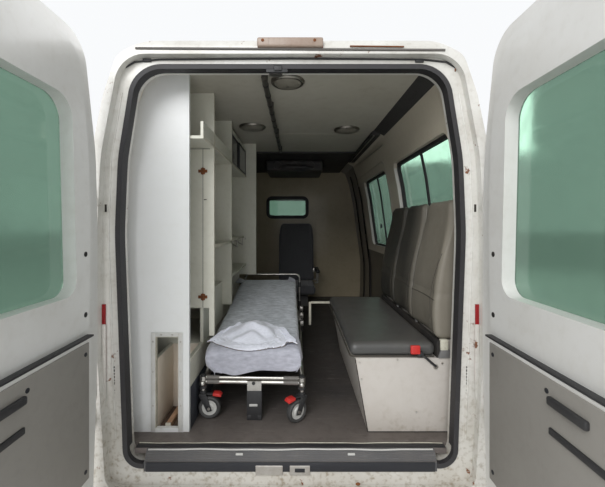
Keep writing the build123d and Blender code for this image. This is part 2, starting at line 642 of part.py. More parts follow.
BAYS = ((shelf_front, DIVIDER_A[0]), (DIVIDER_A[1], DIVIDER_B[0]), (DIVIDER_B[1], DIVIDER_C[0]))
HOLE = (-612, -474, 1119)
SHELF_Z_TOP = 2035
CARCASS_BOARDS = [
    (WALL_X, LOW_FACE, *DIVIDER_A, BASE_Z, LOW_TOP),
    (WALL_X, HOLE[0], *DIVIDER_A, LOW_TOP, HOLE[2]),
    (HOLE[1], AISLE, *DIVIDER_A, AISLE_Z[0], HOLE[2]),
    (WALL_X, AISLE, *DIVIDER_A, HOLE[2], TOP_Z),
    (SEAT - HOUSE_X, LOW_FACE, *DIVIDER_B, BASE_Z, HOUSE_TOP),
    (WALL_X, LOW_FACE, *DIVIDER_B, HOUSE_TOP, LOW_TOP),
    (WALL_X, LOW_BOX, *DIVIDER_B, LOW_TOP, AISLE_Z[1]),
    (WALL_X, AISLE, *DIVIDER_B, AISLE_Z[1], TOP_Z),
    (WALL_X, LOW_FACE, *DIVIDER_C, BASE_Z, LOW_TOP),
    (WALL_X, LOW_BOX, *DIVIDER_C, LOW_TOP, AISLE_Z[2]),
    (WALL_X, -353, *DIVIDER_C, AISLE_Z[2], TOP_Z),
    (LOW_FACE, LOW_BOX, shelf_front, DIVIDER_C[1], BASE_Z, LOW_TOP),
    (LOW_FACE, LOW_BOX, *BAYS[1], LOW_TOP, 1186),
    (WALL_X, LOW_FACE, *BAYS[1], 1186 - BOARD, 1186),
    (WALL_X, LOW_FACE, *BAYS[1], LOW_TOP - BOARD, LOW_TOP),
    (WALL_X, LOW_FACE, *BAYS[2], LOW_TOP - BOARD, LOW_TOP),
    (WALL_X, AISLE, *BAYS[1], 1462, 1462 + BOARD),
    (WALL_X, AISLE, BAYS[2][0], 1500, 1476, 1476 + BOARD),
    (WALL_X, AISLE, *BAYS[2], 1213, 1213 + BOARD),
    (WALL_X, AISLE, *BAYS[2], 2278, 2278 + BOARD),
    (SLOT_IN[0] - BOARD, SLOT_IN[0], *BAYS[0], BASE_Z, LOW_TOP - 2),
]
for bay in BAYS:
    CARCASS_BOARDS.append((WALL_X, AISLE, *bay, SHELF_Z_TOP, SHELF_Z_TOP + 15))
for bay in BAYS[:2]:
    CARCASS_BOARDS.append((AISLE - 14, AISLE, *bay, SHELF_Z_TOP + 15, 2123))
cabinet_carcass = Compound([board(*row).solid() for row in CARCASS_BOARDS])
cupboard_doors = block(AISLE - 20, AISLE - 12, 946 + SEAT, 1300, 2050 + SEAT, 2278 - SEAT)
cupboard_doors += block(AISLE - 12 + SEAT, AISLE - 4, 1290, 1641 - SEAT, 2050 + SEAT, 2278 - SEAT)

# Bench along the right wall: box, cushion and three backrests
BENCH = (END_PANEL, 1292)
BENCH_TOP = 926
bench_outer = outline([(387, BASE_Z, 0), (322, BENCH_TOP, 0), (CLEAR / 3, BENCH_TOP, 0), (CLEAR / 3, BASE_Z, 0)])
bench_inner = outline([
    (387 + BOARD, 0, 0),
    (387 + BOARD, BASE_Z, 0),
    (322 + BOARD + 3, BENCH_TOP - BOARD, 0),
    (CLEAR / 3, BENCH_TOP - BOARD, 0),
    (CLEAR / 3, 0, 0),
])
bench_box = lining & (along(bench_outer, *BENCH) - along(bench_inner, BENCH[0] + BOARD, BENCH[1] - BOARD))
bench_box -= rod((HOUSE_X - SEAT, REAR_AXLE, TYRE_R), (CLEAR / 2, REAR_AXLE, TYRE_R), HOUSE_R + 1)
CUSHION_TOP = 1005
BACK_X = 866
bench_cushion = rounded(296, 734, BENCH[0] + 4, BENCH[1], BENCH_TOP + SEAT, CUSHION_TOP, 30)
back_face = outline([
    (742, CUSHION_TOP + 5, 20),
    (730, 1130, 60),
    (750, 1330, 120),
    (772, 1560, 120),
    (818, 1729, 16),
    (854, 1729, 16),
    (BACK_X, 1560, 60),
    (BACK_X, CUSHION_TOP + 5, 20),
])
BACKS = 3
BACK_GAP = 6
back_pitch = (BENCH[1] - BENCH[0]) / BACKS
bench_backrests = joined([
    lining & along(back_face, BENCH[0] + back_pitch * i + BACK_GAP / 2, BENCH[0] + back_pitch * (i + 1) - BACK_GAP / 2)
    for i in range(BACKS)
])
for z in (1080, 1300):
    bench_box += lining & block(BACK_X + SEAT, HALF_WIDTH, BENCH[0] + 20, BENCH[1] - 20, z, z + 30)
bench_box += block(760, 860, BENCH[0] + 20, BENCH[1] - 20, BENCH_TOP, CUSHION_TOP + 5 - SEAT)

# Attendant's seat, facing the rear
SEAT_X = 20
seat_base = rounded(SEAT_X - 150, SEAT_X + 150, 2800, 3040, BASE_Z, 770, 10)
seat_pan = rounded(SEAT_X - 240, SEAT_X + 240, 2560, 3060, 742, 850, 30)
seat_back_rows = [
    (3000, 800, 30),
    (2960, 1000, 60),
    (2990, 1350, 150),
    (3050, 1614, 35),
    (3130, 1614, 30),
    (3110, 1300, 150),
    (3100, 800, 30),
]
seat_back = across(outline(seat_back_rows), SEAT_X - 235, SEAT_X + 235)
seat_arm = rounded(SEAT_X + 246, SEAT_X + 296, 2690, 3030, 985, 1030, 12)
seat_arm_post = block(SEAT_X + 200, SEAT_X + 270, 3005, 3045, 960, 1010)
attendant_seat = seat_base + seat_pan + seat_back + seat_arm + seat_arm_post

# Stretcher: a mattress on a sloping upper frame, a level lower frame, a hoop at the head and casters
COT_FOOT = (-205, 262, 930)
COT_SLOPE = 6.3
COT_TURN = 1.3
COT_HALF = 256
COT_LONG = 1430
COT_THICK = 75
COT_RAIL = 246
COT_RAIL_DROP = 98
COT_TUBE = 13
COT_LOW_Z = 752
CORNER_LEFT = (-475, 280)
CORNER_RIGHT = (56, 263)
HOOP_Y = 1712
HOOP_LEFT = -462
HOOP_RIGHT = 54
HOOP_Z = 1120
slope = Pos(*COT_FOOT) * Rot(COT_SLOPE, 0, COT_TURN)
stretcher_mattress = slope * rounded(-COT_HALF, COT_HALF, 0, COT_LONG, -COT_THICK, 0, 26)


def on_slope(x, y, z=-COT_RAIL_DROP):
    """Point of the sloping frame."""
    return tuple((slope * Pos(x, y, z)).position)


def low_side(x, y):
    """Point of a lower side tube: left for a negative place, right for a positive one."""
    (corner_x, corner_y), end_x = (CORNER_LEFT, HOOP_LEFT) if x < 0 else (CORNER_RIGHT, HOOP_RIGHT)
    share = (y - corner_y) / (HOOP_Y - corner_y)
    return (corner_x + (end_x - corner_x) * share, y, COT_LOW_Z)


cot_frame = []
for x in (-COT_RAIL, COT_RAIL):
    cot_frame.append(rod(on_slope(x, 28), on_slope(x, COT_LONG + 10), COT_TUBE))
    cot_frame.append(rod(low_side(x, 280), low_side(x, HOOP_Y + 8), COT_TUBE))
    cot_frame.append(rod(low_side(x, 330), on_slope(x, 68), 9))
    cot_frame.append(rod(low_side(x, 380), on_slope(x, 520), 9))
    cot_frame.append(rod(low_side(x, 1620), on_slope(x, 920), 9))
for y in (36, 480, 950, COT_LONG):
    cot_frame.append(rod(on_slope(-COT_RAIL, y), on_slope(COT_RAIL, y), COT_TUBE - 2))
for y in (250, 700, 1200):
    cot_frame.append(slope * block(-240, 240, y - 25, y + 25, -COT_RAIL_DROP, -COT_THICK - SEAT))
for z, radius in ((COT_LOW_Z, 11), (COT_LOW_Z + 23, 9)):
    cot_frame.append(rod((*CORNER_LEFT, z), (*CORNER_RIGHT, z), radius))
for y in (900, HOOP_Y - 20):
    cot_frame.append(rod(low_side(-1, y), low_side(1, y), COT_TUBE - 2))
for x, y in (CORNER_LEFT, CORNER_RIGHT):
    cot_frame.append(rod((x, y, COT_LOW_Z - 11), (x, y, COT_LOW_Z + 30), 19))
cot_frame.append(block(-235, -160, 257, 287, 640, COT_LOW_Z + 10))
for x in (-235, -180):
    cot_frame.append(block(x, x + 20, 257, 287, BASE_Z, 650))
cot_frame.append(block(HOOP_RIGHT - 10, HOOP_RIGHT + 26, 1400, 1440, COT_LOW_Z, 835))
hoop = [(HOOP_LEFT, COT_LOW_Z), (HOOP_LEFT, HOOP_Z), (HOOP_RIGHT, HOOP_Z), (HOOP_RIGHT, COT_LOW_Z)]
cot_frame.append(tube([(x, HOOP_Y, z) for x, z in hoop], 9, 40))
stretcher_frame = joined(cot_frame)
CASTER_R = 60
CASTER_TRAIL = 35
# Casters: stem's sideways place and offset, and the turn of the fork
CASTERS = ((*CORNER_LEFT, 90), (*CORNER_RIGHT, -53), (HOOP_LEFT, 1640, 0), (HOOP_RIGHT, 1640, 0))
fork_face = outline([(-15, -14, 6), (15, -14, 6), (CASTER_TRAIL + 18, 72, 0), (CASTER_TRAIL - 18, 72, 0)])


def caster(x, y, turn):
    """Braked caster: wheel, fork, stem and pedal, turned about its stem."""
    wheel = rod((-15, 0, 0), (15, 0, 0), CASTER_R)
    fork = across(fork_face, -23, -17) + across(fork_face, 17, 23)
    pin = rod((-23, 0, 0), (23, 0, 0), 6)
    crown = block(-23, 23, CASTER_TRAIL - 20, CASTER_TRAIL + 20, 66, 76)
    stem = rod((0, CASTER_TRAIL, 70), (0, CASTER_TRAIL, COT_LOW_Z - COT_TUBE - SEAT - BASE_Z - CASTER_R), 12)
    pedal = block(-20, 20, -64, -24, 68, 78) + block(-9, 9, -30, CASTER_TRAIL, 68, 76)
    whole = wheel + fork + pin + crown + stem + pedal
    return Pos(x, y, BASE_Z + CASTER_R) * Rot(0, 0, turn) * Pos(0, -CASTER_TRAIL, 0) * whole


stretcher_casters = joined([caster(*row) for row in CASTERS])

# Cab furniture
dash_face = outline([
    (FIREWALL_HIGH - SEAT, SHELF_Z + 16 + SEAT, 0),
    (4300, SHELF_Z + 16 + SEAT, 30),
    (4200, 930, 60),
    (4170, 1180, 60),
    (4260, 1270, 60),
    (FIREWALL_HIGH, 1290, 100),
    (4880, 1268, 10),
    (4880, COWL_Z + 16 + SEAT, 0),
    (FIREWALL_HIGH - SEAT, COWL_Z + 16 + SEAT, 0),
])
dashboard = cab_lining & across(dash_face, -CLEAR / 2, CLEAR / 2)
cab_seat_list = []
for x in (-430, 430):
    base = rounded(x - 200, x + 200, 3560, 3960, BASE_Z, 790, 10)
    pan = rounded(x - 250, x + 250, 3530, 4040, 790, 900, 35)
    back_rows = [(3560, 850, 30), (3500, 1560, 35), (3590, 1570, 35), (3680, 850, 30)]
    back = across(outline(back_rows), x - 240, x + 240)
    head = rounded(x - 120, x + 120, 3500, 3590, 1550, 1740, 30)
    cab_seat_list.append(base + pan + back + head)
cab_seats = joined(cab_seat_list)

STEER_CENTRE = (-430, 4060, 1180)
STEER_TILT = 38
wheel_plane = Plane(STEER_CENTRE, x_dir=(1, 0, 0), z_dir=(0, -sin(radians(STEER_TILT)), cos(radians(STEER_TILT))))
ring = wheel_plane * Torus(195, 14)
boss = wheel_plane * Cylinder(55, 40)
spokes = [wheel_plane * Rot(0, 0, angle) * Pos(100, 0, 0) * Box(190, 34, 14) for angle in (0, 180, 270)]
steering_wheel = joined([ring, boss] + spokes)
column_end = wheel_plane * Pos(0, 0, -20 - SEAT - 85) * Cylinder(34, 170)
dashboard += column_end - (wheel_plane * Pos(0, 0, -20) * Cylinder(36, 2 * SEAT))

# Engine, chassis rails, rear axle with springs, tank and exhaust
engine_block = block(-330, 330, 4700, 5180, 440, 930)
RAIL_IN = 400
RAIL_OUT = 460
RAIL_LOW = 420
RAIL_TOP = FLOOR_Z - FLOOR_THICK
rails = [pair(block(RAIL_IN, RAIL_OUT, 90, 5360, RAIL_LOW, RAIL_TOP))]
CROSSMEMBERS = (330, 1700, 2700, 3800, 4900, 5290)
rails += [block(-RAIL_IN, RAIL_IN, y, y + 70, RAIL_LOW + 5, RAIL_LOW + 19) for y in CROSSMEMBERS]
rails += [block(-RAIL_IN, RAIL_IN, y, y + 70, 500, 515) for y in CROSSMEMBERS[:4]]
ARM_TOP = 300
arm_face = outline([
    (RAIL_IN, FRONT_AXLE - 150, 20),
    (RAIL_IN, FRONT_AXLE + 150, 20),
    (KINGPIN_X - 70, FRONT_AXLE + 34, 60),
    (KINGPIN_X - 12, FRONT_AXLE + 15, 8),
    (KINGPIN_X - 12, FRONT_AXLE - 15, 8),
    (KINGPIN_X - 70, FRONT_AXLE - 34, 60),
])
lower_arm = upward(arm_face, ARM_TOP - 30, ARM_TOP)
arm_post = block(RAIL_IN + 10, RAIL_OUT - 10, FRONT_AXLE - 60, FRONT_AXLE + 60, ARM_TOP - 5, RAIL_LOW + 5)
TOW_EYE = (-430, 150, 290)
TOW_BORE_R = 18
TOW_PLATE = 20
tow_face = outline([(100, RAIL_LOW + 5, 0), (100, 254, 30), (200, 254, 30), (240, RAIL_LOW + 5, 0)])
tow_plate = across(tow_face, TOW_EYE[0] - TOW_PLATE / 2, TOW_EYE[0] + TOW_PLATE / 2)
tow_bore = rod((TOW_EYE[0] - 50, *TOW_EYE[1:]), (TOW_EYE[0] + 50, *TOW_EYE[1:]), TOW_BORE_R)
chassis_frame = joined(rails) + pair(lower_arm + arm_post) + (tow_plate - tow_bore)

axle_tube = rod((-HUB_FACE + SEAT, REAR_AXLE, TYRE_R), (HUB_FACE - SEAT, REAR_AXLE, TYRE_R), 42)
spring_rows = [(300, 405, 0), (REAR_AXLE, 300, 2000), (1580, 405, 0), (1580, 430, 0), (REAR_AXLE, 325, 2000), (300, 430, 0)]
spring = across(outline(spring_rows), 500, 560)
hangers = block(505, 555, 290, 330, 405, RAIL_TOP - SEAT) + block(505, 555, 1550, 1590, 405, RAIL_TOP - SEAT)
clamp_seat = block(490, 570, REAR_AXLE - 50, REAR_AXLE + 50, 295, 360)
rear_hub = rod((HUB_FACE - 30, REAR_AXLE, TYRE_R), (HUB_FACE - SEAT, REAR_AXLE, TYRE_R), 70)
rear_spindle = rod((HUB_FACE - 30, REAR_AXLE, TYRE_R), (HUB_FACE + 9, REAR_AXLE, TYRE_R), SPINDLE_R)
drum = rod((HUB_FACE - 100, REAR_AXLE, TYRE_R), (HUB_FACE - 30, REAR_AXLE, TYRE_R), 140)
rear_axle = axle_tube + pair(spring + hangers + clamp_seat + rear_hub + rear_spindle + drum)

tank = rounded(-900, -480, 2100, 2900, 330, 520, 40)
tank += block(-800, -560, 2200, 2260, 519, RAIL_TOP - SEAT) + block(-800, -560, 2700, 2760, 519, RAIL_TOP - SEAT)
pipe = tube([
    (250, 4700 - SEAT, 500),
    (250, 4600, 500),
    (250, 4450, 385),
    (250, 1500, 385),
    (250, 1150, 470),
    (250, 700, 470),
    (300, 420, 375),
    (300, 110, 375),
], 26, 60)
silencer = rod((250, 2000, 385), (250, 2600, 385), 85)
pipe += silencer + block(230, 270, 2280, 2320, 455, RAIL_TOP - SEAT)
tank_and_exhaust = tank + pipe


# Wheels: rows of distance from the wheel's middle plane, radius and corner radius
def turned(rows):
    """Right-hand solid of revolution about an axle at offset zero."""
    face = outline([(TRACK_HALF + a, TYRE_R + b, r) for a, b, r in rows])
    return revolve(Plane.XZ * face, axis=Axis((0, 0, TYRE_R), (1, 0, 0)))


def tyre():
    """Right-hand tyre of a plain section, seated between the rim's flanges."""
    seat_r = RIM_R + SEAT
    half = RIM_HALF - 8.5
    rows = [(half, seat_r, 0), (half, seat_r + 18, 0), (TYRE_HALF, seat_r + 60, 25), (TYRE_HALF - 8, TYRE_R - 14, 20),
            (TYRE_HALF - 30, TYRE_R, 30)]
    return turned(rows + [(-a, b, r) for a, b, r in reversed(rows)])


def rim():
    """Right-hand steel wheel: barrel, dished disc with round vents, and centre cap."""
    barrel_rows = [
        (RIM_HALF, RIM_R - 8, 0),
        (RIM_HALF, RIM_R + 18, 0),
        (RIM_HALF - 8, RIM_R + 18, 0),
        (RIM_HALF - 8, RIM_R, 0),
    ]
    barrel = turned(barrel_rows + [(-a, b, r) for a, b, r in reversed(barrel_rows)])
    disc = turned([
        (8, SPINDLE_R + 0.5, 0),
        (20, SPINDLE_R + 0.5, 0),
        (20, 80, 0),
        (48, 122, 20),
        (48, RIM_R - 7, 0),
        (36, RIM_R - 7, 0),
        (36, 128, 20),
        (8, 86, 0),
    ])
    cap = turned([(20, 0, 0), (34, 0, 0), (30, 50, 0), (20, 60, 0)])
    wheel = barrel + disc + cap
    for turn in range(8):
        angle = 2 * pi * turn / 8
        spot = (151 * cos(angle), TYRE_R + 151 * sin(angle))
        wheel -= rod((TRACK_HALF + 20, *spot), (TRACK_HALF + 60, *spot), 15)
    return wheel


upright = block(KINGPIN_X - 55, KINGPIN_X + 5, FRONT_AXLE - 50, FRONT_AXLE + 50, ARM_TOP + SEAT, TYRE_R + 110)
front_hub = rod((HUB_FACE - 28, FRONT_AXLE, TYRE_R), (HUB_FACE - SEAT, FRONT_AXLE, TYRE_R), 70)
front_spindle = rod((KINGPIN_X - 30, FRONT_AXLE, TYRE_R), (HUB_FACE + 9, FRONT_AXLE, TYRE_R), SPINDLE_R)
brake_disc = rod((HUB_FACE - 60, FRONT_AXLE, TYRE_R), (HUB_FACE - 38, FRONT_AXLE, TYRE_R), 145)
knuckle_right = upright + front_hub + front_spindle + brake_disc

# Warning light bar on the front of the roof
bar_body = rounded(-560, 560, 3180, 3400, ROOF_Z + 8, ROOF_Z + 100, 30)
bar_feet = [block(x - 40, x + 40, 3230, 3350, ROOF_Z - 90, ROOF_Z + 30) - outer for x in (-400, 400)]
light_bar = joined([bar_body] + bar_feet)

PIECES = {
    "floor_pan": floor_pan,
    "chassis_frame": chassis_frame,
    "side_panel_left": side_panel_left,
    "side_panel_right": side_panel_right,
    "roof_panel": roof_panel,
    "rear_frame": rear_frame,
    "rubber_seals": rubber_seals,
    "cab_shell": cab_shell,
    "grille": grille,
    "front_bumper": front_bumper,
    "rear_step": rear_step,
    "rear_bumper": rear_bumper,
    "lock_strikers": lock_strikers,
    "headlamps": headlamps,
    "tail_lamps": tail_lamps,
    "windscreen": windscreen,
    "side_glass": side_glass,
    "sliding_door": sliding_door,
    "bulkhead": bulkhead,
    "ceiling_panel": ceiling_panel,
    "ceiling_trim": ceiling_trim,
    "ceiling_lamps": ceiling_lamps,
    "ceiling_rail": ceiling_rail,
    "cooling_unit": cooling_unit,
    "cabinet_end_panel": cabinet_end_panel,
    "cabinet_carcass": cabinet_carcass,
    "cupboard_doors": cupboard_doors,
    "bench_box": bench_box,
    "bench_cushion": bench_cushion,
    "bench_backrests": bench_backrests,
    "attendant_seat": attendant_seat,
    "stretcher_frame": stretcher_frame,
    "stretcher_mattress": stretcher_mattress,
    "stretcher_casters": stretcher_casters,
    "dashboard": dashboard,
    "cab_seats": cab_seats,
    "engine_block": engine_block,
    "tank_and_exhaust": tank_and_exhaust,
    "rear_axle": rear_axle,
    "light_bar": light_bar,
    "bonnet": bonnet,
    "cab_door_right": door_right,
    "cab_door_left": mirrored(door_right),
    "cab_glass_right": cab_pane,
    "cab_glass_left": mirrored(cab_pane),
    "rear_door_right": rear_door_right,
    "rear_door_left": rear_door_left,
    "rear_glass_right": rear_glass_right,
    "rear_glass_left": mirrored(rear_glass_right),
    "knuckle_right": knuckle_right,
    "knuckle_left": mirrored(knuckle_right),
    "steering_wheel": steering_wheel,
}
for part, shape in (("tyre", tyre()), ("rim", rim())):
    for place, y in (("front", FRONT_AXLE), ("rear", REAR_AXLE)):
        PIECES[f"{part}_{place}_right"] = Pos(0, y, 0) * shape
        PIECES[f"{part}_{place}_left"] = Pos(0, y, 0) * mirrored(shape)

os.makedirs("parts", exist_ok=True)
for name, shape in PIECES.items():
    export_step(Pos(0, REAR_Y, 0) * shape, f"parts/{name}.step")
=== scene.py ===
"""Looks of a high-roof ambulance with its rear doors open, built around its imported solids."""

import json
import logging
import math
from collections.abc import Callable, Iterable, Sequence
from dataclasses import dataclass
from enum import Enum

import bmesh
import bpy
from mathutils import Matrix, Vector, noise

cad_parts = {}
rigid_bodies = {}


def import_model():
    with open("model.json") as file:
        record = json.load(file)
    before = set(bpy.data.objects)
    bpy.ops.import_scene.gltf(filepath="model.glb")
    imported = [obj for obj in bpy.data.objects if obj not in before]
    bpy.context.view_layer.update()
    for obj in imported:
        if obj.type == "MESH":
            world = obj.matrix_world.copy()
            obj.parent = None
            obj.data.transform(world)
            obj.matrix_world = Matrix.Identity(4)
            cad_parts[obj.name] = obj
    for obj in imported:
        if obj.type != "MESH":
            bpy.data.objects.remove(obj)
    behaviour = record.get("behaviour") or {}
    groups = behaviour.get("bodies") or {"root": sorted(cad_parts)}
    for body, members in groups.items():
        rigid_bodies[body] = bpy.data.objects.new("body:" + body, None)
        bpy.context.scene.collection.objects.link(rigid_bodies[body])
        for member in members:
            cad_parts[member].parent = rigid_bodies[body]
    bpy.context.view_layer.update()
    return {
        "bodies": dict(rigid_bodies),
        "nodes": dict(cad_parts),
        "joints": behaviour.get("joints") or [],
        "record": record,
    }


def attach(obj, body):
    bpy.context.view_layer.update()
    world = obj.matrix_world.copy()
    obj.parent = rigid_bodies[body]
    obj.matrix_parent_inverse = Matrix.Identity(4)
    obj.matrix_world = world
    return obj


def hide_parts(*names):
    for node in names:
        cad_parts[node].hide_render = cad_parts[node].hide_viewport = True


LOG = logging.getLogger("ambulance")
REAR_DOOR_PLANE = -2.2925
SIDES = ((1, "right"), (-1, "left"))
SHARP = 1e-6
Colour = tuple[float, float, float]
Place = tuple[float, float, float]
Span = tuple[float, float]
Ends = tuple[float, float, float, float]


def spot(x: float, offset: float, height: float) -> Vector:
    """Place a point given in millimetres.

    Args:
        x: Distance to the vehicle's right.
        offset: Distance ahead of the rear door plane.
        height: Height above the ground.

    Returns:
        The point in metres, in the object's own frame.
    """
    return Vector((x / 1000, offset / 1000 + REAR_DOOR_PLANE, height / 1000))


def held(value: float, low: float, high: float) -> float:
    """Keep a value between two limits."""
    return max(low, min(high, value))


def sided(side: int, near: float, far: float) -> Span:
    """Span between two distances from the middle, on one side of the vehicle."""
    low, high = sorted((side * near, side * far))
    return low, high


class Graph:
    """Short way to add and link the nodes of one shader tree."""

    def __init__(self, tree: bpy.types.NodeTree) -> None:
        """Wrap a tree."""
        self.tree = tree

    def add(self, kind: str, inputs: dict | None = None, **settings: object) -> bpy.types.Node:
        """Add a node.

        Args:
            kind: Type name of the node.
            inputs: Socket name or number, to a value or a socket that feeds it.
            settings: Properties of the node.

        Returns:
            The new node.
        """
        node = self.tree.nodes.new(kind)
        for key, value in settings.items():
            setattr(node, key, value)
        for key, value in (inputs or {}).items():
            self.feed(node.inputs[key], value)
        return node

    def feed(self, socket: bpy.types.NodeSocket, value: object) -> None:
        """Link a socket to another, or set its value."""
        if isinstance(value, bpy.types.NodeSocket):
            self.tree.links.new(value, socket)
        elif socket.type == "RGBA" and len(value) == 3:
            socket.default_value = (*value, 1.0)
        else:
            socket.default_value = value

    def maths(self, operation: str, first: object, second: object = 0.0) -> bpy.types.NodeSocket:
        """Work out one number from two."""
        return self.add("ShaderNodeMath", {0: first, 1: second}, operation=operation).outputs[0]

    def band(self, value: object, low: object, high: object) -> bpy.types.NodeSocket:
        """Map a value to 0 at low and 1 at high, held between."""
        inputs = {"Value": value, "From Min": low, "From Max": high}
        return self.add("ShaderNodeMapRange", inputs, clamp=True).outputs[0]

    def mix(self, share: object, first: object, second: object, how: str = "MIX") -> bpy.types.NodeSocket:
        """Mix two colours by a share."""
        node = self.add("ShaderNodeMix", data_type="RGBA", blend_type=how)
        for index, value in ((0, share), (6, first), (7, second)):
            self.feed(node.inputs[index], value)
        return node.outputs[2]

    def cloud(self, place: object, scale: object, detail: float = 4.0, rough: float = 0.55) -> bpy.types.NodeSocket:
        """Noise at a scale, as one number."""
        inputs = {"Vector": place, "Scale": scale, "Detail": detail, "Roughness": rough}
        return self.add("ShaderNodeTexNoise", inputs).outputs["Fac"]

    def axes(self, place: object) -> tuple[bpy.types.NodeSocket, ...]:
        """The three numbers of a vector."""
        return tuple(self.add("ShaderNodeSeparateXYZ", {0: place}).outputs)


class Effects:
    """Shader node groups that several finishes share, each built once."""

    def __init__(self) -> None:
        """Build the groups."""
        self.grime = self.group("grime", self.draw_grime, {
            "Place": None, "Base": (0.8, 0.8, 0.8), "Stain": (0.2, 0.15, 0.1), "Amount": 0.3, "Size": 3.0,
            "Low": 0.3, "High": 0.6}, {"Color": "NodeSocketColor", "Mask": "NodeSocketFloat"})
        self.rust = self.group("rust", self.draw_rust, {
            "Place": None, "Base": (0.8, 0.8, 0.8), "Amount": 0.3, "Size": 12.0},
            {"Color": "NodeSocketColor", "Mask": "NodeSocketFloat"})
        self.grain = self.group("moulded_grain", self.draw_grain, {"Place": None, "Size": 900.0, "Depth": 1.0},
                                {"Height": "NodeSocketFloat"})
        self.weave = self.group("weave", self.draw_weave, {"Place": None, "Threads": 1800.0},
                                {"Height": "NodeSocketFloat", "Tone": "NodeSocketFloat"})
        self.scuff = self.group("scuffs", self.draw_scuff, {"Place": None, "Size": 6.0, "Amount": 0.5},
                                {"Mask": "NodeSocketFloat"})
        self.dust = self.group("dust", self.draw_dust, {"Place": None, "Base": (0.5, 0.5, 0.5), "Amount": 0.3},
                               {"Color": "NodeSocketColor", "Mask": "NodeSocketFloat"})
        self.inside = self.group("inside_face", self.draw_inside, {"Place": None}, {"Mask": "NodeSocketFloat"})

    @staticmethod
    def group(name: str, draw: Callable, inputs: dict, outputs: dict) -> bpy.types.NodeTree:
        """Make a node group.

        Args:
            name: Name of the group.
            draw: Method that adds the nodes, given the graph, the group's inputs and its output node.
            inputs: Input names, to a number, a colour or None for a vector.
            outputs: Output names, to their socket types.

        Returns:
            The group's tree.
        """
        tree = bpy.data.node_groups.new(name, "ShaderNodeTree")
        for key, value in inputs.items():
            kind = "Vector" if value is None else "Color" if isinstance(value, tuple) else "Float"
            made = tree.interface.new_socket(name=key, in_out="INPUT", socket_type=f"NodeSocket{kind}")
            if value is not None:
                made.default_value = (*value, 1.0) if isinstance(value, tuple) else value
        for key, kind in outputs.items():
            tree.interface.new_socket(name=key, in_out="OUTPUT", socket_type=kind)
        graph = Graph(tree)
        draw(graph, graph.add("NodeGroupInput").outputs, graph.add("NodeGroupOutput").inputs)
        return tree

    @staticmethod
    def draw_grime(graph: Graph, given: object, out: object) -> None:
        """Broad and fine stains, thicker towards the low height."""
        broad = graph.band(graph.cloud(given["Place"], given["Size"], 6.0, 0.6), 0.42, 0.72)
        fine = graph.band(graph.cloud(given["Place"], graph.maths("MULTIPLY", given["Size"], 9.0)), 0.5, 0.75)
        height = graph.axes(given["Place"])[2]
        foot = graph.maths("MULTIPLY", graph.band(height, given["High"], given["Low"]), 0.9)
        spread = graph.maths("ADD", graph.maths("MULTIPLY", broad, 0.55), graph.maths("MULTIPLY", fine, 0.35))
        both = graph.maths("ADD", spread, graph.maths("MULTIPLY", foot, graph.maths("ADD", fine, 0.5)))
        mask = graph.band(graph.maths("MULTIPLY", both, given["Amount"]), 0.0, 1.0)
        graph.feed(out["Color"], graph.mix(mask, given["Base"], given["Stain"]))
        graph.feed(out["Mask"], mask)

    @staticmethod
    def draw_rust(graph: Graph, given: object, out: object) -> None:
        """Sharp-edged patches of rust with a paler rim."""
        field_value = graph.cloud(given["Place"], given["Size"], 8.0, 0.65)
        edge = graph.maths("SUBTRACT", 0.86, graph.maths("MULTIPLY", given["Amount"], 0.55))
        mask = graph.band(field_value, edge, graph.maths("ADD", edge, 0.035))
        tone = graph.mix(graph.cloud(given["Place"], 160.0), (0.06, 0.022, 0.012), (0.30, 0.105, 0.035))
        graph.feed(out["Color"], graph.mix(mask, given["Base"], tone))
        graph.feed(out["Mask"], mask)

    @staticmethod
    def draw_grain(graph: Graph, given: object, out: object) -> None:
        """Leathery cells of a moulded or coated surface."""
        cells = graph.add("ShaderNodeTexVoronoi", {"Vector": given["Place"], "Scale": given["Size"]},
                          feature="DISTANCE_TO_EDGE").outputs["Distance"]
        height = graph.maths("ADD", graph.band(cells, 0.0, 0.35), graph.cloud(given["Place"], 240.0))
        graph.feed(out["Height"], graph.maths("MULTIPLY", height, given["Depth"]))

    @staticmethod
    def draw_weave(graph: Graph, given: object, out: object) -> None:
        """Crossing threads, with slubs in their tone."""
        parts = graph.axes(given["Place"])
        waves = []
        for first, second in ((parts[0], parts[2]), (parts[1], parts[2])):
            across = graph.maths("MULTIPLY", graph.maths("ADD", first, second), given["Threads"])
            waves.append(graph.maths("SINE", across))
        height = graph.maths("MULTIPLY", waves[0], waves[1])
        graph.feed(out["Height"], height)
        slub = graph.add("ShaderNodeMapping", {"Vector": given["Place"], "Scale": (0.09, 0.23, 0.23)}).outputs[0]
        graph.feed(out["Tone"], graph.cloud(slub, given["Threads"], 3.0))

    @staticmethod
    def draw_scuff(graph: Graph, given: object, out: object) -> None:
        """Long thin scratches in two directions."""
        masks = []
        for turn in (0.35, 1.3):
            stretched = graph.add("ShaderNodeMapping", {
                "Vector": given["Place"], "Rotation": (0.2, 0.1, turn), "Scale": (1.0, 14.0, 5.0)}).outputs[0]
            masks.append(graph.band(graph.cloud(stretched, given["Size"], 8.0, 0.7), 0.6, 0.72))
        both = graph.maths("MAXIMUM", masks[0], masks[1])
        graph.feed(out["Mask"], graph.maths("MULTIPLY", both, given["Amount"]))

    @staticmethod
    def draw_dust(graph: Graph, given: object, out: object) -> None:
        """Pale dust on what faces upwards."""
        normal = graph.add("ShaderNodeNewGeometry").outputs["Normal"]
        up = graph.band(graph.axes(normal)[2], 0.2, 1.0)
        mask = graph.maths("MULTIPLY", graph.maths("MULTIPLY", up, graph.cloud(given["Place"], 9.0)), given["Amount"])
        graph.feed(out["Color"], graph.mix(mask, given["Base"], (0.36, 0.31, 0.25)))
        graph.feed(out["Mask"], mask)

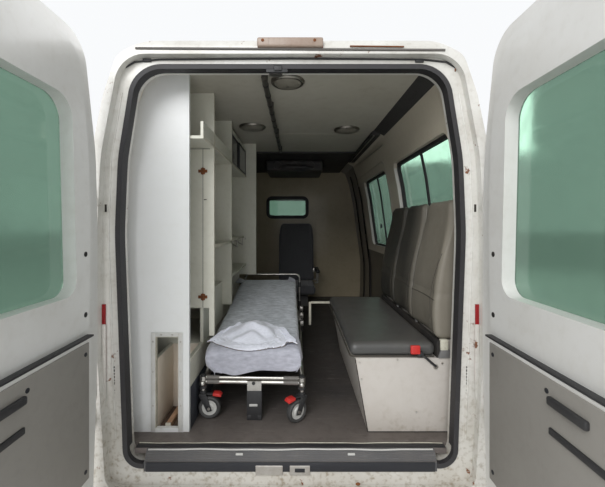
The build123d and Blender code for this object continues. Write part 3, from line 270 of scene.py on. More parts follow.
    @staticmethod
    def draw_inside(graph: Graph, given: object, out: object) -> None:
        """Tell the inner face of a body panel from its outer one."""
        place = graph.axes(given["Place"])
        normal = graph.axes(graph.add("ShaderNodeNewGeometry").outputs["True Normal"])
        sides = graph.maths("MULTIPLY", place[0], normal[0])
        height = graph.maths("SUBTRACT", place[2], 1.25)
        tops = graph.maths("MULTIPLY", height, normal[2])
        ends = graph.maths("MULTIPLY", graph.maths("MULTIPLY", graph.maths("SUBTRACT", place[1], 0.4), 0.25),
                           normal[1])
        total = graph.maths("ADD", graph.maths("ADD", sides, tops), ends)
        graph.feed(out["Mask"], graph.maths("LESS_THAN", total, 0.0))


class Kind(Enum):
    """How a surface is made."""

    PAINT = "paint"
    BOARD = "board"
    PLASTIC = "plastic"
    RUBBER = "rubber"
    VINYL = "vinyl"
    CLOTH = "cloth"
    METAL = "metal"
    GLASS = "glass"
    LENS = "lens"


@dataclass(frozen=True)
class Finish:
    """One finish: its making, colours, stains, painted shade along the vehicle, gloss and relief."""

    name: str
    kind: Kind
    colour: Colour
    stain: Colour = (0.20, 0.155, 0.10)
    amount: float = 0.25
    size: float = 3.0
    low: float = 0.0
    high: float = 0.01
    rough: float = 0.4
    rust: float = 0.0
    scuff: float = 0.0
    dust: float = 0.0
    bump: float = 0.15
    grain: float = 700.0
    lining: Colour | None = None
    under: tuple[float, Colour] | None = None
    # Painted shade along the vehicle: from the first distance to the second, the colour turns into the given darker
    # one.
    fade: tuple[float, float, Colour] | None = None
    clear: float = 0.0


class Palette:
    """Makes each finish once and hands out its material."""

    coat: Span = (0.35, 0.12)
    sheen: Span = (0.3, 0.5)
    refraction = 1.45
    gloss_lost_to_grime = 0.3
    gloss_lost_to_rust = 0.4

    def __init__(self) -> None:
        """Start with the shared effects and no material."""
        self.effects = Effects()
        self.made: dict[str, bpy.types.Material] = {}

    def get(self, finish: Finish) -> bpy.types.Material:
        """Return the material of a finish, made on first use."""
        if finish.name not in self.made:
            self.made[finish.name] = self.make(finish)
        return self.made[finish.name]

    def call(self, graph: Graph, tree: bpy.types.NodeTree, inputs: dict) -> object:
        """Add a shared effect and return its outputs."""
        node = graph.add("ShaderNodeGroup", node_tree=tree)
        for key, value in inputs.items():
            graph.feed(node.inputs[key], value)
        return node.outputs

    def relief(self, graph: Graph, finish: Finish, place: object) -> object:
        """Height of the surface, by how it is made.

        Args:
            graph: The material's graph.
            finish: The finish.
            place: Socket with the place on the object.

        Returns:
            The height and how far it stands, in metres.
        """
        effects = self.effects
        if finish.kind in (Kind.PLASTIC, Kind.VINYL, Kind.RUBBER):
            height = self.call(graph, effects.grain, {"Place": place, "Size": finish.grain})["Height"]
            return height, 0.0006
        if finish.kind is Kind.CLOTH:
            return self.call(graph, effects.weave, {"Place": place, "Threads": finish.grain * 2.4})["Height"], 0.0005
        if finish.kind is Kind.METAL:
            brushed = graph.add("ShaderNodeMapping", {"Vector": place, "Scale": (6.0, 60.0, 60.0)}).outputs[0]
            return graph.cloud(brushed, 20.0, 6.0), 0.0003
        return graph.maths("ADD", graph.cloud(place, 2.2),
                           graph.maths("MULTIPLY", graph.cloud(place, 420.0), 0.05)), 0.004

    @staticmethod
    def faded(graph: Graph, finish: Finish, place: object, base: object) -> object:
        """Paint shade along the vehicle: turn a colour into the finish's darker last one between two distances."""
        if finish.fade is None:
            return base
        start, end, deep_shade = finish.fade
        return graph.mix(graph.band(graph.axes(place)[1], start, end), base, deep_shade)

    def make(self, finish: Finish) -> bpy.types.Material:
        """Build the material of a finish."""
        material = bpy.data.materials.new(finish.name)
        material.use_nodes = True
        graph = Graph(material.node_tree)
        shader = material.node_tree.nodes["Principled BSDF"]
        place = graph.add("ShaderNodeTexCoord").outputs["Object"]
        base: object = finish.colour
        if finish.lining is not None:
            inside = self.call(graph, self.effects.inside, {"Place": place})["Mask"]
            lining: object = finish.lining
            if finish.under is not None:
                height, below = finish.under
                lining = graph.mix(graph.band(graph.axes(place)[2], height, height + 0.006), below, finish.lining)
            # The lining here, and the plain colour below, take the painted shade along the vehicle.
            base = graph.mix(inside, finish.colour, self.faded(graph, finish, place, lining))
        else:
            base = self.faded(graph, finish, place, base)
        grimed = self.call(graph, self.effects.grime, {
            "Place": place, "Base": base, "Stain": finish.stain, "Amount": finish.amount, "Size": finish.size,
            "Low": finish.low, "High": finish.high})
        colour, mask = grimed["Color"], grimed["Mask"]
        if finish.kind is Kind.CLOTH:
            tone = self.call(graph, self.effects.weave, {"Place": place, "Threads": finish.grain})["Tone"]
            colour = graph.mix(graph.band(tone, 0.35, 0.7), colour, finish.stain)
        if finish.scuff:
            worn = self.call(graph, self.effects.scuff, {"Place": place, "Amount": finish.scuff})["Mask"]
            pale = tuple(held(c * 1.6 + 0.08, 0.0, 0.9) for c in finish.colour)
            colour = graph.mix(worn, colour, pale)
        if finish.dust:
            colour = self.call(graph, self.effects.dust,
                               {"Place": place, "Base": colour, "Amount": finish.dust})["Color"]
        rough: object = graph.maths("ADD", graph.maths("MULTIPLY", mask, self.gloss_lost_to_grime), finish.rough)
        metal: object = 1.0 if finish.kind is Kind.METAL else 0.0
        if finish.rust:
            rusty = self.call(graph, self.effects.rust, {"Place": place, "Base": colour, "Amount": finish.rust})
            colour = rusty["Color"]
            rough = graph.maths("ADD", rough, graph.maths("MULTIPLY", rusty["Mask"], self.gloss_lost_to_rust))
            if finish.kind is Kind.METAL:
                metal = graph.maths("SUBTRACT", 1.0, rusty["Mask"])
        graph.feed(shader.inputs["Base Color"], colour)
        graph.feed(shader.inputs["Roughness"], rough)
        if finish.kind not in (Kind.GLASS, Kind.LENS):
            graph.feed(shader.inputs["Metallic"], metal)
        height, reach = self.relief(graph, finish, place)
        bump = graph.add("ShaderNodeBump", {"Strength": finish.bump, "Distance": reach, "Height": height})
        graph.feed(shader.inputs["Normal"], bump.outputs[0])
        plain: dict[str, float] = {}
        if finish.kind is Kind.PAINT:
            plain = dict(zip(("Coat Weight", "Coat Roughness"), self.coat))
        elif finish.kind is Kind.CLOTH:
            plain = dict(zip(("Sheen Weight", "Sheen Roughness"), self.sheen))
        elif finish.kind in (Kind.GLASS, Kind.LENS):
            plain = {"Transmission Weight": finish.clear, "IOR": self.refraction}
        for name, value in plain.items():
            shader.inputs[name].default_value = value
        return material


def paint(name: str, colour: Colour, **more: object) -> Finish:
    """Painted sheet metal."""
    return Finish(name, Kind.PAINT, colour, **{"rough": 0.32, "bump": 0.12, **more})


class Finishes:
    """All finishes of the ambulance."""

    # Painted shade: the inner lining turns nearly black from about 2.7 m inside the doorway.
    white = paint("body_white", (0.74, 0.73, 0.69), lining=(0.66, 0.60, 0.49), stain=(0.40, 0.34, 0.25), amount=0.30,
        low=0.35, high=0.75, fade=(0.405, 0.42, (0.040, 0.040, 0.042)))
    cab_white = paint("cab_white", (0.74, 0.73, 0.69), lining=(0.20, 0.20, 0.20), stain=(0.40, 0.34, 0.25),
        amount=0.3, low=0.35, high=0.75)
    slide_white = paint("slide_door_white", (0.74, 0.73, 0.69), lining=(0.62, 0.57, 0.47),
        under=(1.29, (0.028, 0.030, 0.034)), stain=(0.40, 0.34, 0.25), amount=0.3, low=0.35, high=0.75)
    rear_white = paint("rear_frame_cream", (0.70, 0.69, 0.65), stain=(0.30, 0.255, 0.19), amount=0.55, size=5.0,
        low=0.45, high=1.05, rust=0.40)
    door_white = paint("rear_door_white", (0.76, 0.755, 0.73), stain=(0.42, 0.38, 0.30), amount=0.3, rust=0.22)
    bumper_cream = paint("bumper_cream", (0.70, 0.665, 0.58), stain=(0.33, 0.24, 0.16), amount=0.6, size=6.0,
        rust=0.42, scuff=0.3)
    bulkhead = paint("bulkhead_cream", (0.46, 0.39, 0.26), stain=(0.26, 0.21, 0.13), amount=0.5, rough=0.5)
    underseal = Finish("underseal", Kind.RUBBER, (0.045, 0.042, 0.04), stain=(0.13, 0.10, 0.075), amount=0.7,
        size=5.0, rough=0.7, bump=0.5, grain=300.0, rust=0.35)
    engine = Finish("engine_alloy", Kind.METAL, (0.36, 0.36, 0.35), stain=(0.08, 0.07, 0.06), amount=0.7, rough=0.5)
    exhaust = Finish("exhaust_steel", Kind.METAL, (0.33, 0.31, 0.29), stain=(0.14, 0.08, 0.05), amount=0.6,
        rough=0.45, rust=0.6)
    # Painted shade: the floor darkens to nearly black from the sill to about half a metre inside.
    floor = Finish("floor_vinyl", Kind.VINYL, (0.165, 0.142, 0.130), stain=(0.062, 0.050, 0.045), amount=1.0,
        size=2.6, rough=0.5, bump=0.35, grain=260.0, scuff=0.6, dust=0.15, fade=(-2.25, -1.75, (0.036, 0.034, 0.036)))
    tread = Finish("sill_tread", Kind.PLASTIC, (0.075, 0.075, 0.080), stain=(0.14, 0.13, 0.12), amount=0.6, size=7.0,
        rough=0.6, bump=0.3, scuff=0.4, dust=0.25)
    nose = Finish("sill_nose", Kind.PLASTIC, (0.012, 0.013, 0.018), stain=(0.04, 0.038, 0.036), amount=0.4,
        rough=0.55, scuff=0.15)
    seal = Finish("door_rubber", Kind.RUBBER, (0.022, 0.021, 0.024), stain=(0.06, 0.055, 0.05), amount=0.5,
        rough=0.55, bump=0.2)
    black = Finish("trim_black", Kind.PLASTIC, (0.026, 0.026, 0.028), stain=(0.05, 0.048, 0.045), amount=0.5,
        rough=0.5, bump=0.25)
    dark_trim = Finish("cornice_charcoal", Kind.PLASTIC, (0.045, 0.043, 0.042), stain=(0.025, 0.024, 0.023),
        amount=0.5, rough=0.6, bump=0.3)
    bumper_black = Finish("bumper_black", Kind.PLASTIC, (0.05, 0.05, 0.052), stain=(0.11, 0.10, 0.09), amount=0.5,
        size=4.0, rough=0.55, bump=0.35, dust=0.3)
    ceiling = Finish("ceiling_lining", Kind.BOARD, (0.50, 0.475, 0.405), stain=(0.32, 0.28, 0.21), amount=0.5,
        size=2.0, rough=0.6, bump=0.25)
    board = Finish("cabinet_board", Kind.BOARD, (0.70, 0.69, 0.60), stain=(0.46, 0.43, 0.33), amount=0.45, size=4.0,
        rough=0.45, low=0.5, high=0.9)
    end_board = Finish("end_board", Kind.BOARD, (0.79, 0.80, 0.80), stain=(0.58, 0.57, 0.50), amount=0.25, size=2.2,
        rough=0.4, low=0.5, high=0.85)
    raw_edge = Finish("board_edge", Kind.BOARD, (0.62, 0.60, 0.50), stain=(0.22, 0.14, 0.09), amount=0.7, size=9.0,
        rough=0.6)
    kick = Finish("kick_board", Kind.BOARD, (0.045, 0.05, 0.062), stain=(0.02, 0.02, 0.022), amount=0.5, rough=0.5)
    plank = Finish("plank_wood", Kind.BOARD, (0.52, 0.32, 0.20), stain=(0.12, 0.06, 0.035), amount=0.9, size=9.0,
        rough=0.65)
    hollow = Finish("slot_lining", Kind.BOARD, (0.76, 0.67, 0.565), stain=(0.50, 0.42, 0.33), amount=0.5, rough=0.6)
    cavity = Finish("slot_shadow", Kind.BOARD, (0.10, 0.065, 0.045), stain=(0.05, 0.035, 0.028), amount=0.6,
        rough=0.8)
    bench = Finish("bench_cream", Kind.BOARD, (0.575, 0.54, 0.50), stain=(0.36, 0.31, 0.25), amount=0.45, size=3.5,
        rough=0.42, low=0.55, high=0.7)
    cushion = Finish("cushion_vinyl", Kind.VINYL, (0.072, 0.072, 0.070), stain=(0.095, 0.09, 0.083), amount=0.6,
        size=4.0, rough=0.36, bump=0.22, grain=520.0, dust=0.12)
    # Painted shade: the backrests darken to nearly black from about 0.4 m to 0.75 m inside the doorway.
    backrest = Finish("backrest_vinyl", Kind.VINYL, (0.22, 0.20, 0.163), stain=(0.16, 0.14, 0.105), amount=0.5,
        size=3.0, rough=0.5, bump=0.22, grain=560.0, fade=(-1.90, -1.55, (0.040, 0.039, 0.034)))
    piping = Finish("seam_dark", Kind.RUBBER, (0.05, 0.045, 0.038), rough=0.6)
    seat_cloth = Finish("seat_cloth", Kind.CLOTH, (0.115, 0.115, 0.125), stain=(0.08, 0.08, 0.088), amount=0.5,
        rough=0.8, bump=0.5, grain=900.0)
    seat_grey = Finish("seat_base_grey", Kind.PLASTIC, (0.16, 0.16, 0.16), rough=0.55, scuff=0.2)
    chrome = Finish("cot_steel", Kind.METAL, (0.50, 0.485, 0.455), stain=(0.28, 0.255, 0.22), amount=0.7, rough=0.30,
        size=14.0)
    steel = Finish("dull_steel", Kind.METAL, (0.52, 0.50, 0.47), stain=(0.28, 0.22, 0.17), amount=0.6, rough=0.35,
        rust=0.2, size=16.0)
    rusty = Finish("rusted_steel", Kind.METAL, (0.30, 0.24, 0.20), stain=(0.12, 0.06, 0.04), amount=0.8, rough=0.55,
        rust=0.95, size=24.0)
    mottled = Finish("mattress_cover", Kind.CLOTH, (0.68, 0.71, 0.76), stain=(0.36, 0.385, 0.42), amount=1.0,
        size=9.0, rough=0.85, bump=0.7, grain=240.0)
    pale_cloth = Finish("foot_sheet_cloth", Kind.CLOTH, (0.50, 0.505, 0.57), stain=(0.37, 0.375, 0.43), amount=0.7,
        size=12.0, rough=0.9, bump=0.6, grain=300.0)
    # Dark slate line along the cloth's near edge: partly its hem, partly painted shadow under the edge.
    hem_shadow_line = Finish("hem_shadow_slate", Kind.CLOTH, (0.115, 0.12, 0.16), rough=0.9)
    # Also used for the painted shadow strip under the eave over the doorway.
    sleeve_and_eave_shadow = Finish("cot_sleeve_and_eave_shadow", Kind.PLASTIC, (0.135, 0.125, 0.115), stain=(0.22, 0.20, 0.18), amount=0.5,
        rough=0.5, size=14.0)
    slot_trim = Finish("slot_trim", Kind.BOARD, (0.60, 0.60, 0.58), stain=(0.40, 0.36, 0.30), amount=0.5, size=9.0,
        rough=0.5)
    bay_wall = Finish("bay_wall_brown", Kind.BOARD, (0.155, 0.135, 0.105), stain=(0.075, 0.06, 0.045), amount=1.0,
        size=9.0, rough=0.75)
    white_cloth = Finish("towel_cloth", Kind.CLOTH, (0.88, 0.90, 0.99), stain=(0.80, 0.82, 0.91), amount=0.3,
        size=9.0, rough=0.9, bump=0.6, grain=700.0)
    caster_tyre = Finish("caster_rubber", Kind.RUBBER, (0.05, 0.05, 0.05), stain=(0.15, 0.14, 0.13), amount=0.5,
        rough=0.6, size=20.0)
    caster_hub = Finish("caster_hub_grey", Kind.PLASTIC, (0.55, 0.545, 0.52), stain=(0.3, 0.28, 0.25), amount=0.5,
        rough=0.45, size=20.0)
    red = Finish("pedal_red", Kind.PLASTIC, (0.62, 0.035, 0.03), stain=(0.30, 0.03, 0.025), amount=0.4, rough=0.35)
    tyre = Finish("tyre_rubber", Kind.RUBBER, (0.03, 0.03, 0.03), stain=(0.11, 0.095, 0.08), amount=0.6, size=5.0,
        rough=0.75, bump=0.4, grain=380.0, dust=0.4)
    rim = Finish("wheel_silver", Kind.PAINT, (0.44, 0.44, 0.43), stain=(0.13, 0.10, 0.08), amount=0.7, size=9.0,
        rough=0.42, rust=0.22)
    iron = Finish("hub_iron", Kind.METAL, (0.20, 0.18, 0.165), stain=(0.09, 0.06, 0.04), amount=0.7, rough=0.6,
        rust=0.6)
    dash = Finish("dash_grey", Kind.PLASTIC, (0.07, 0.07, 0.075), stain=(0.045, 0.045, 0.045), amount=0.4, rough=0.6,
        bump=0.4, dust=0.25)
    card = Finish("door_card_grey", Kind.PLASTIC, (0.285, 0.27, 0.245), stain=(0.19, 0.175, 0.155), amount=0.4,
        rough=0.55, bump=0.3)
    smoked = Finish("smoked_door", Kind.GLASS, (0.05, 0.055, 0.07), rough=0.12, bump=0.02, clear=0.5)
    tint = Finish("window_green", Kind.GLASS, (0.20, 0.33, 0.25), stain=(0.16, 0.26, 0.20), amount=0.6, size=2.0,
        rough=0.06, bump=0.02, clear=0.92)
    screen = Finish("screen_glass", Kind.GLASS, (0.72, 0.80, 0.76), rough=0.02, bump=0.01, amount=0.05, clear=0.96)
    mirror = Finish("mirror_face", Kind.METAL, (0.82, 0.84, 0.85), rough=0.03, bump=0.0, amount=0.05)
    diffuser = Finish("lamp_frost", Kind.LENS, (0.26, 0.24, 0.20), stain=(0.15, 0.135, 0.10), amount=0.5, size=16.0,
        rough=0.4, clear=0.1)
    lamp_ring = Finish("lamp_ring", Kind.METAL, (0.30, 0.28, 0.25), stain=(0.14, 0.13, 0.11), amount=0.5, rough=0.4)
    rail_dark = Finish("rail_dark", Kind.PLASTIC, (0.035, 0.034, 0.033), rough=0.35, amount=0.3)
    unit = Finish("cooler_grey", Kind.PLASTIC, (0.035, 0.035, 0.038), rough=0.5, bump=0.3, amount=0.4)
    beacon = Finish("beacon_blue", Kind.LENS, (0.02, 0.07, 0.42), rough=0.12, bump=0.04, amount=0.1, clear=0.35)
    head_lens = Finish("head_lens", Kind.LENS, (0.80, 0.83, 0.85), rough=0.08, bump=0.05, amount=0.1, clear=0.55)
    amber = Finish("lamp_amber", Kind.LENS, (0.62, 0.20, 0.02), rough=0.12, amount=0.2, clear=0.3)
    lamp_white = Finish("lamp_clear", Kind.LENS, (0.66, 0.66, 0.63), rough=0.12, amount=0.3, clear=0.3)
    lamp_red = Finish("lamp_red", Kind.LENS, (0.42, 0.015, 0.02), stain=(0.22, 0.01, 0.012), amount=0.3, rough=0.12,
        clear=0.25)
    faded = Finish("lamp_faded", Kind.LENS, (0.37, 0.29, 0.235), stain=(0.26, 0.155, 0.11), amount=0.7, size=14.0,
        rough=0.3, clear=0.1)
    dark_line = Finish("shadow_black", Kind.PLASTIC, (0.012, 0.011, 0.011), rough=0.8)


class Form:
    """Mesh in the making, in the object's own frame and in metres."""

    def __init__(self) -> None:
        """Start empty, on the first material and unmoved."""
        self.bm = bmesh.new()
        self.mark = self.bm.faces.layers.int.new("claimed")
        self.layer = 0
        self.matrix: Matrix | None = None

    def on(self, layer: int) -> "Form":
        """Give what comes next another material."""
        self.layer = layer
        return self

    def under(self, matrix: Matrix | None) -> "Form":
        """Put what comes next in a frame of its own."""
        self.matrix = matrix
        return self

    def claim(self) -> "Form":
        """Give the faces added last the current material and frame."""
        fresh = [face for face in self.bm.faces if not face[self.mark]]
        for face in fresh:
            face[self.mark] = 1
            face.material_index = self.layer
        if self.matrix is not None:
            verts = list({vert for face in fresh for vert in face.verts})
            bmesh.ops.transform(self.bm, matrix=self.matrix, verts=verts)
        return self

    def block(self, low: Sequence[float], high: Sequence[float], bevel: float = 0.0, segments: int = 2) -> "Form":
        """Add a box between two corners, with rounded edges."""
        first, second = Vector(low), Vector(high)
        matrix = Matrix.Translation((first + second) / 2) @ Matrix.Diagonal((*(second - first), 1.0))
        verts = bmesh.ops.create_cube(self.bm, size=1.0, matrix=matrix)["verts"]
        if bevel:
            edges = list({edge for vert in verts for edge in vert.link_edges})
            bmesh.ops.bevel(self.bm, geom=edges, offset=bevel, segments=segments, profile=0.5, affect="EDGES",
                            material=-1)
        return self.claim()

    def box(self, across: Span, along: Span, up: Span, bevel: float = 0.0, segments: int = 2) -> "Form":
        """Add a box by its spans, with rounded edges, all in the vehicle's millimetres."""
        low, high = zip(across, along, up)
        return self.block(spot(*low), spot(*high), bevel / 1000, segments)

    def rod(self, start: Sequence[float], end: Sequence[float], radius: float, sides: int = 20) -> "Form":
        """Add a round bar between two points."""
        first, second = Vector(start), Vector(end)
        reach = second - first
        matrix = Matrix.Translation((first + second) / 2) @ reach.to_track_quat("Z", "Y").to_matrix().to_4x4()
        bmesh.ops.create_cone(self.bm, cap_ends=True, segments=sides, radius1=radius, radius2=radius,
                              depth=reach.length, matrix=matrix)
        return self.claim()

    def bar(self, start: Place, end: Place, radius: float, sides: int = 20) -> "Form":
        """Add a round bar, all in the vehicle's millimetres."""
        return self.rod(spot(*start), spot(*end), radius / 1000, sides)

    def ball(self, centre: Sequence[float], radius: float, sides: int = 16,
             scale: Sequence[float] = (1, 1, 1)) -> "Form":
        """Add a ball, or an egg where it is scaled."""
        matrix = Matrix.Translation(Vector(centre)) @ Matrix.Diagonal((*scale, 1.0))
        bmesh.ops.create_uvsphere(self.bm, u_segments=sides, v_segments=max(6, sides // 2), radius=radius,
                                  matrix=matrix)
        return self.claim()

    def pipe(self, points: Sequence[Vector], radius: float, sides: int = 12) -> "Form":
        """Add a round bar through several points, with round joints."""
        for start, end in zip(points, points[1:]):
            self.rod(start, end, radius, sides)
        for point in points[1:-1]:
            self.ball(point, radius, sides)
        return self

    def run(self, points: Iterable[Place], radius: float, sides: int = 12) -> "Form":
        """Add a round bar through several points, all in the vehicle's millimetres."""
        return self.pipe([spot(*point) for point in points], radius / 1000, sides)

    def lathe(self, profile: Sequence[tuple[float, float]], origin: Sequence[float], axis: Sequence[float],
              steps: int = 40) -> "Form":
        """Spin a closed profile.

        Args:
            profile: Radius and distance along the axis of each corner.
            origin: Point on the axis that distances count from.
            axis: Direction of the axis.
            steps: Number of sides of the turn.

        Returns:
            The form itself.
        """
        line = Vector(axis).normalized()
        side = line.orthogonal().normalized()
        centre = Vector(origin)
        verts = [self.bm.verts.new(centre + side * radius + line * reach) for radius, reach in profile]
        edges = [self.bm.edges.new(ends) for ends in zip(verts, verts[1:] + verts[:1])]
        bmesh.ops.spin(self.bm, geom=verts + edges, cent=centre, axis=line, dvec=(0, 0, 0), angle=math.tau,
                       steps=steps, use_merge=True)
        return self.claim()

    def slab(self, corners: Iterable[Vector], depth: Vector, bevel: float = 0.0) -> "Form":
        """Add a flat outline, pushed through by a depth."""
        face = self.bm.faces.new([self.bm.verts.new(corner) for corner in corners])
        grown = bmesh.ops.extrude_face_region(self.bm, geom=[face])["geom"]
        bmesh.ops.translate(self.bm, verts=[part for part in grown if isinstance(part, bmesh.types.BMVert)],
                            vec=depth)
        if bevel:
            edges = [edge for edge in self.bm.edges if not all(face[self.mark] for face in edge.link_faces)]
            bmesh.ops.bevel(self.bm, geom=edges, offset=bevel, segments=2, profile=0.5, affect="EDGES", material=-1)
        return self.claim()

    def piece(self, name: str, body: str, materials: Sequence[bpy.types.Material], replaces: Sequence[str] = (),
              slot: str | None = None, smooth: float = 40.0, subdivide: int = 0) -> bpy.types.Object:
        """Close the mesh and make it a piece that rides on a body.

        Args:
            name: Name of the piece.
            body: Body that carries it.
            materials: Materials in the order of the layers.
            replaces: Nodes that the piece stands for.
            slot: Material slot of the record; not used.
            smooth: Largest angle in degrees that is shaded smooth.
            subdivide: Levels of subdivision.

        Returns:
            The piece.
        """
        bmesh.ops.remove_doubles(self.bm, verts=self.bm.verts[:], dist=SHARP)
        bmesh.ops.recalc_face_normals(self.bm, faces=self.bm.faces[:])
        self.bm.faces.layers.int.remove(self.mark)
        mesh = bpy.data.meshes.new(name)
        self.bm.to_mesh(mesh)
        self.bm.free()
        for material in materials:
            mesh.materials.append(material)
        mesh.shade_smooth()
        mesh.set_sharp_from_angle(angle=math.radians(smooth))
        made = bpy.data.objects.new(name, mesh)
        bpy.context.scene.collection.objects.link(made)
        if subdivide:
            modifier = made.modifiers.new("Subdivision", "SUBSURF")
            modifier.levels = modifier.render_levels = subdivide
        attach(made, body)
        if replaces:
            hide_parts(*replaces)
        LOG.info("%s: %d faces on %s", name, len(mesh.polygons), body)
        return made


@dataclass(frozen=True)
class Groove:
    """Sewn channel across a padded piece: axis, place, width and depth in metres."""

    axis: int
    place: float
    width: float = 0.006
    depth: float = 0.006


@dataclass
class Pad:
    """Stuffed piece between two corners: rounding, crown, pulled-in sides, channels and creases."""

    low: Vector
    high: Vector
    radius: float = 0.03
    crown: float = 0.010
    pull: float = 0.006
    top: tuple[int, int] = (2, 1)
    cuts: int = 39
    creases: float = 0.0012
    grooves: tuple[Groove, ...] = ()
    warp: Callable[[Vector, Vector], Vector] | None = None

    def form(self) -> Form:
        """Build the mesh from a finely divided cube."""
        made = Form()
        bmesh.ops.create_cube(made.bm, size=2.0)
        bmesh.ops.subdivide_edges(made.bm, edges=made.bm.edges[:], cuts=self.cuts, use_grid_fill=True)
        for vert in made.bm.verts:
            vert.co = self.settle(vert.co.copy())
        return made.claim()

    def settle(self, unit: Vector) -> Vector:
        """Move one point of the cube onto the pad.

        Args:
            unit: Point of a cube from -1 to 1.

        Returns:
            Its place on the pad, in metres.
        """
        unit = Vector([0.45 * u + 0.55 * math.sin(u * math.pi / 2) for u in unit])
        half, centre = (self.high - self.low) / 2, (self.high + self.low) / 2
        place = Vector([u * h for u, h in zip(unit, half)])
        radius = min(self.radius, *half)
        core = Vector([held(p, radius - h, h - radius) for p, h in zip(place, half)])
        out = place - core
        if out.length > 1e-9:
            out.normalize()
            place = core + out * radius
        axis, sign = self.top
        flat = [i for i in range(3) if i != axis]
        for one, other in (flat, flat[::-1]):
            place[one] -= math.copysign(self.pull * abs(unit[one]) ** 4 * (1 - unit[other] ** 2), unit[one])
        if unit[axis] * sign > 0:
            place[axis] += sign * self.crown * (1 - unit[flat[0]] ** 2) * (1 - unit[flat[1]] ** 2)
        where = place + centre
        for groove in self.grooves:
            if unit[axis] * sign > -0.9:
                near = math.exp(-(((where[groove.axis] - groove.place) / groove.width) ** 2))
                where -= out * groove.depth * near
        where += out * self.creases * (noise.noise(where * 9.0) + 0.6 * noise.noise(where * 31.0))
        return self.warp(where, unit) if self.warp else where


class Shop:
    """What every sub-assembly works with: the palette and the frame's nodes."""

    def __init__(self, palette: Palette, nodes: dict[str, bpy.types.Object]) -> None:
        """Keep the palette and the nodes."""
        self.palette = palette
        self.nodes = nodes

    def piece(self, form: Form, name: str, *finishes: Finish, body: str = "body", **more: object) -> bpy.types.Object:
        """Make a form a piece in its finishes, given in the order of its layers, and let it ride on a body."""
        return form.piece(name, body, [self.palette.get(finish) for finish in finishes], **more)

    def dress(self, **nodes: str) -> None:
        """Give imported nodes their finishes: each finish's name, to the nodes that wear it, parted by spaces."""
        for key, names in nodes.items():
            finish: Finish = getattr(Finishes, key)
            for name in names.split():
                for slot in self.nodes[name].material_slots:
                    slot.material = self.palette.get(finish)
                LOG.info("%s wears %s", name, finish.name)

    def wall(self, node: str, offset: float, height: float) -> Vector | None:
        """Find the inner face of a packed wall on the right.

        Args:
            node: Name of the wall's node.
            offset: Distance ahead of the rear door plane, in millimetres.
            height: Height above the ground, in millimetres.

        Returns:
            The point, or nothing where the wall is open.
        """
        hit, point, _, _ = self.nodes[node].ray_cast(spot(300, offset, height), Vector((1.0, 0.0, 0.0)))
        return point.copy() if hit else None


@dataclass
class Studio:
    """Floor, light and the camera at the photograph's viewpoint."""

    eye: Place = (30.0, -1580.0, 1600.0)
    focal_pixels: float = 345.0
    frame_width: int = 605
    centre_pixels: Span = (5.5, -19.5)
    sensor: float = 36.0
    clip: Span = (0.05, 200.0)
    floor_size: float = 60.0
    floor_tones: tuple[Colour, Colour] = ((0.78, 0.78, 0.77), (0.82, 0.82, 0.81))
    sky: Colour = (0.97, 0.985, 1.0)
    sky_light: float = 0.72
    sky_seen: float = 0.26
    soft_lamps: tuple[tuple[str, Place, Place, float, float], ...] = (
        ("soft_rear", (-2.5, -9.0, 6.0), (0.0, -1.0, 1.2), 5.0, 520.0),
        ("soft_front", (4.5, 8.0, 6.5), (0.0, 1.0, 1.0), 6.0, 420.0))

    def build(self) -> None:
        """Build floor, world, lamps and camera."""
        self.floor()
        self.world()
        self.lamps()
        self.camera()

    def camera(self) -> None:
        """Place the camera."""
        data = bpy.data.cameras.new("camera")
        data.sensor_width = self.sensor
        data.lens = self.focal_pixels * self.sensor / self.frame_width
        data.clip_start, data.clip_end = self.clip
        data.shift_x, data.shift_y = (offset / self.frame_width for offset in self.centre_pixels)
        made = bpy.data.objects.new("camera", data)
        made.location = spot(*self.eye)
        made.rotation_euler = (math.pi / 2, 0.0, 0.0)
        bpy.context.scene.collection.objects.link(made)
        bpy.context.scene.camera = made

    def floor(self) -> None:
        """Lay a wide pale floor."""
        bm = bmesh.new()
        bmesh.ops.create_grid(bm, x_segments=1, y_segments=1, size=self.floor_size)
        mesh = bpy.data.meshes.new("floor")
        bm.to_mesh(mesh)
        bm.free()
        made = bpy.data.objects.new("floor", mesh)
        bpy.context.scene.collection.objects.link(made)
        material = bpy.data.materials.new("studio_floor")
        material.use_nodes = True
        graph = Graph(material.node_tree)
        shader = material.node_tree.nodes["Principled BSDF"]
        shader.inputs["Roughness"].default_value = 0.9
        place = graph.add("ShaderNodeTexCoord").outputs["Object"]
        graph.feed(shader.inputs["Base Color"], graph.mix(graph.cloud(place, 0.4), *self.floor_tones))
        mesh.materials.append(material)

    def world(self) -> None:
        """Even pale surroundings, white to the camera and in reflections."""
        world = bpy.data.worlds.new("studio")
        bpy.context.scene.world = world
        world.use_nodes = True
        graph = Graph(world.node_tree)
        back = world.node_tree.nodes["Background"]
        path = graph.add("ShaderNodeLightPath").outputs
        mirrored = graph.maths("MAXIMUM", path["Is Glossy Ray"], path["Is Transmission Ray"])
        seen = graph.maths("MULTIPLY", graph.maths("MAXIMUM", path["Is Camera Ray"], mirrored), self.sky_seen)
        graph.feed(back.inputs["Color"], self.sky)
        graph.feed(back.inputs["Strength"], graph.maths("ADD", self.sky_light, seen))

    def lamps(self) -> None:
        """Hang two broad soft lamps over and behind the vehicle."""
        for name, place, aim, size, power in self.soft_lamps:
            data = bpy.data.lights.new(name, "AREA")
            data.size = size
            data.energy = power
            made = bpy.data.objects.new(name, data)
            made.location = place
            made.rotation_euler = (Vector(aim) - Vector(place)).to_track_quat("-Z", "Y").to_euler()
            bpy.context.scene.collection.objects.link(made)


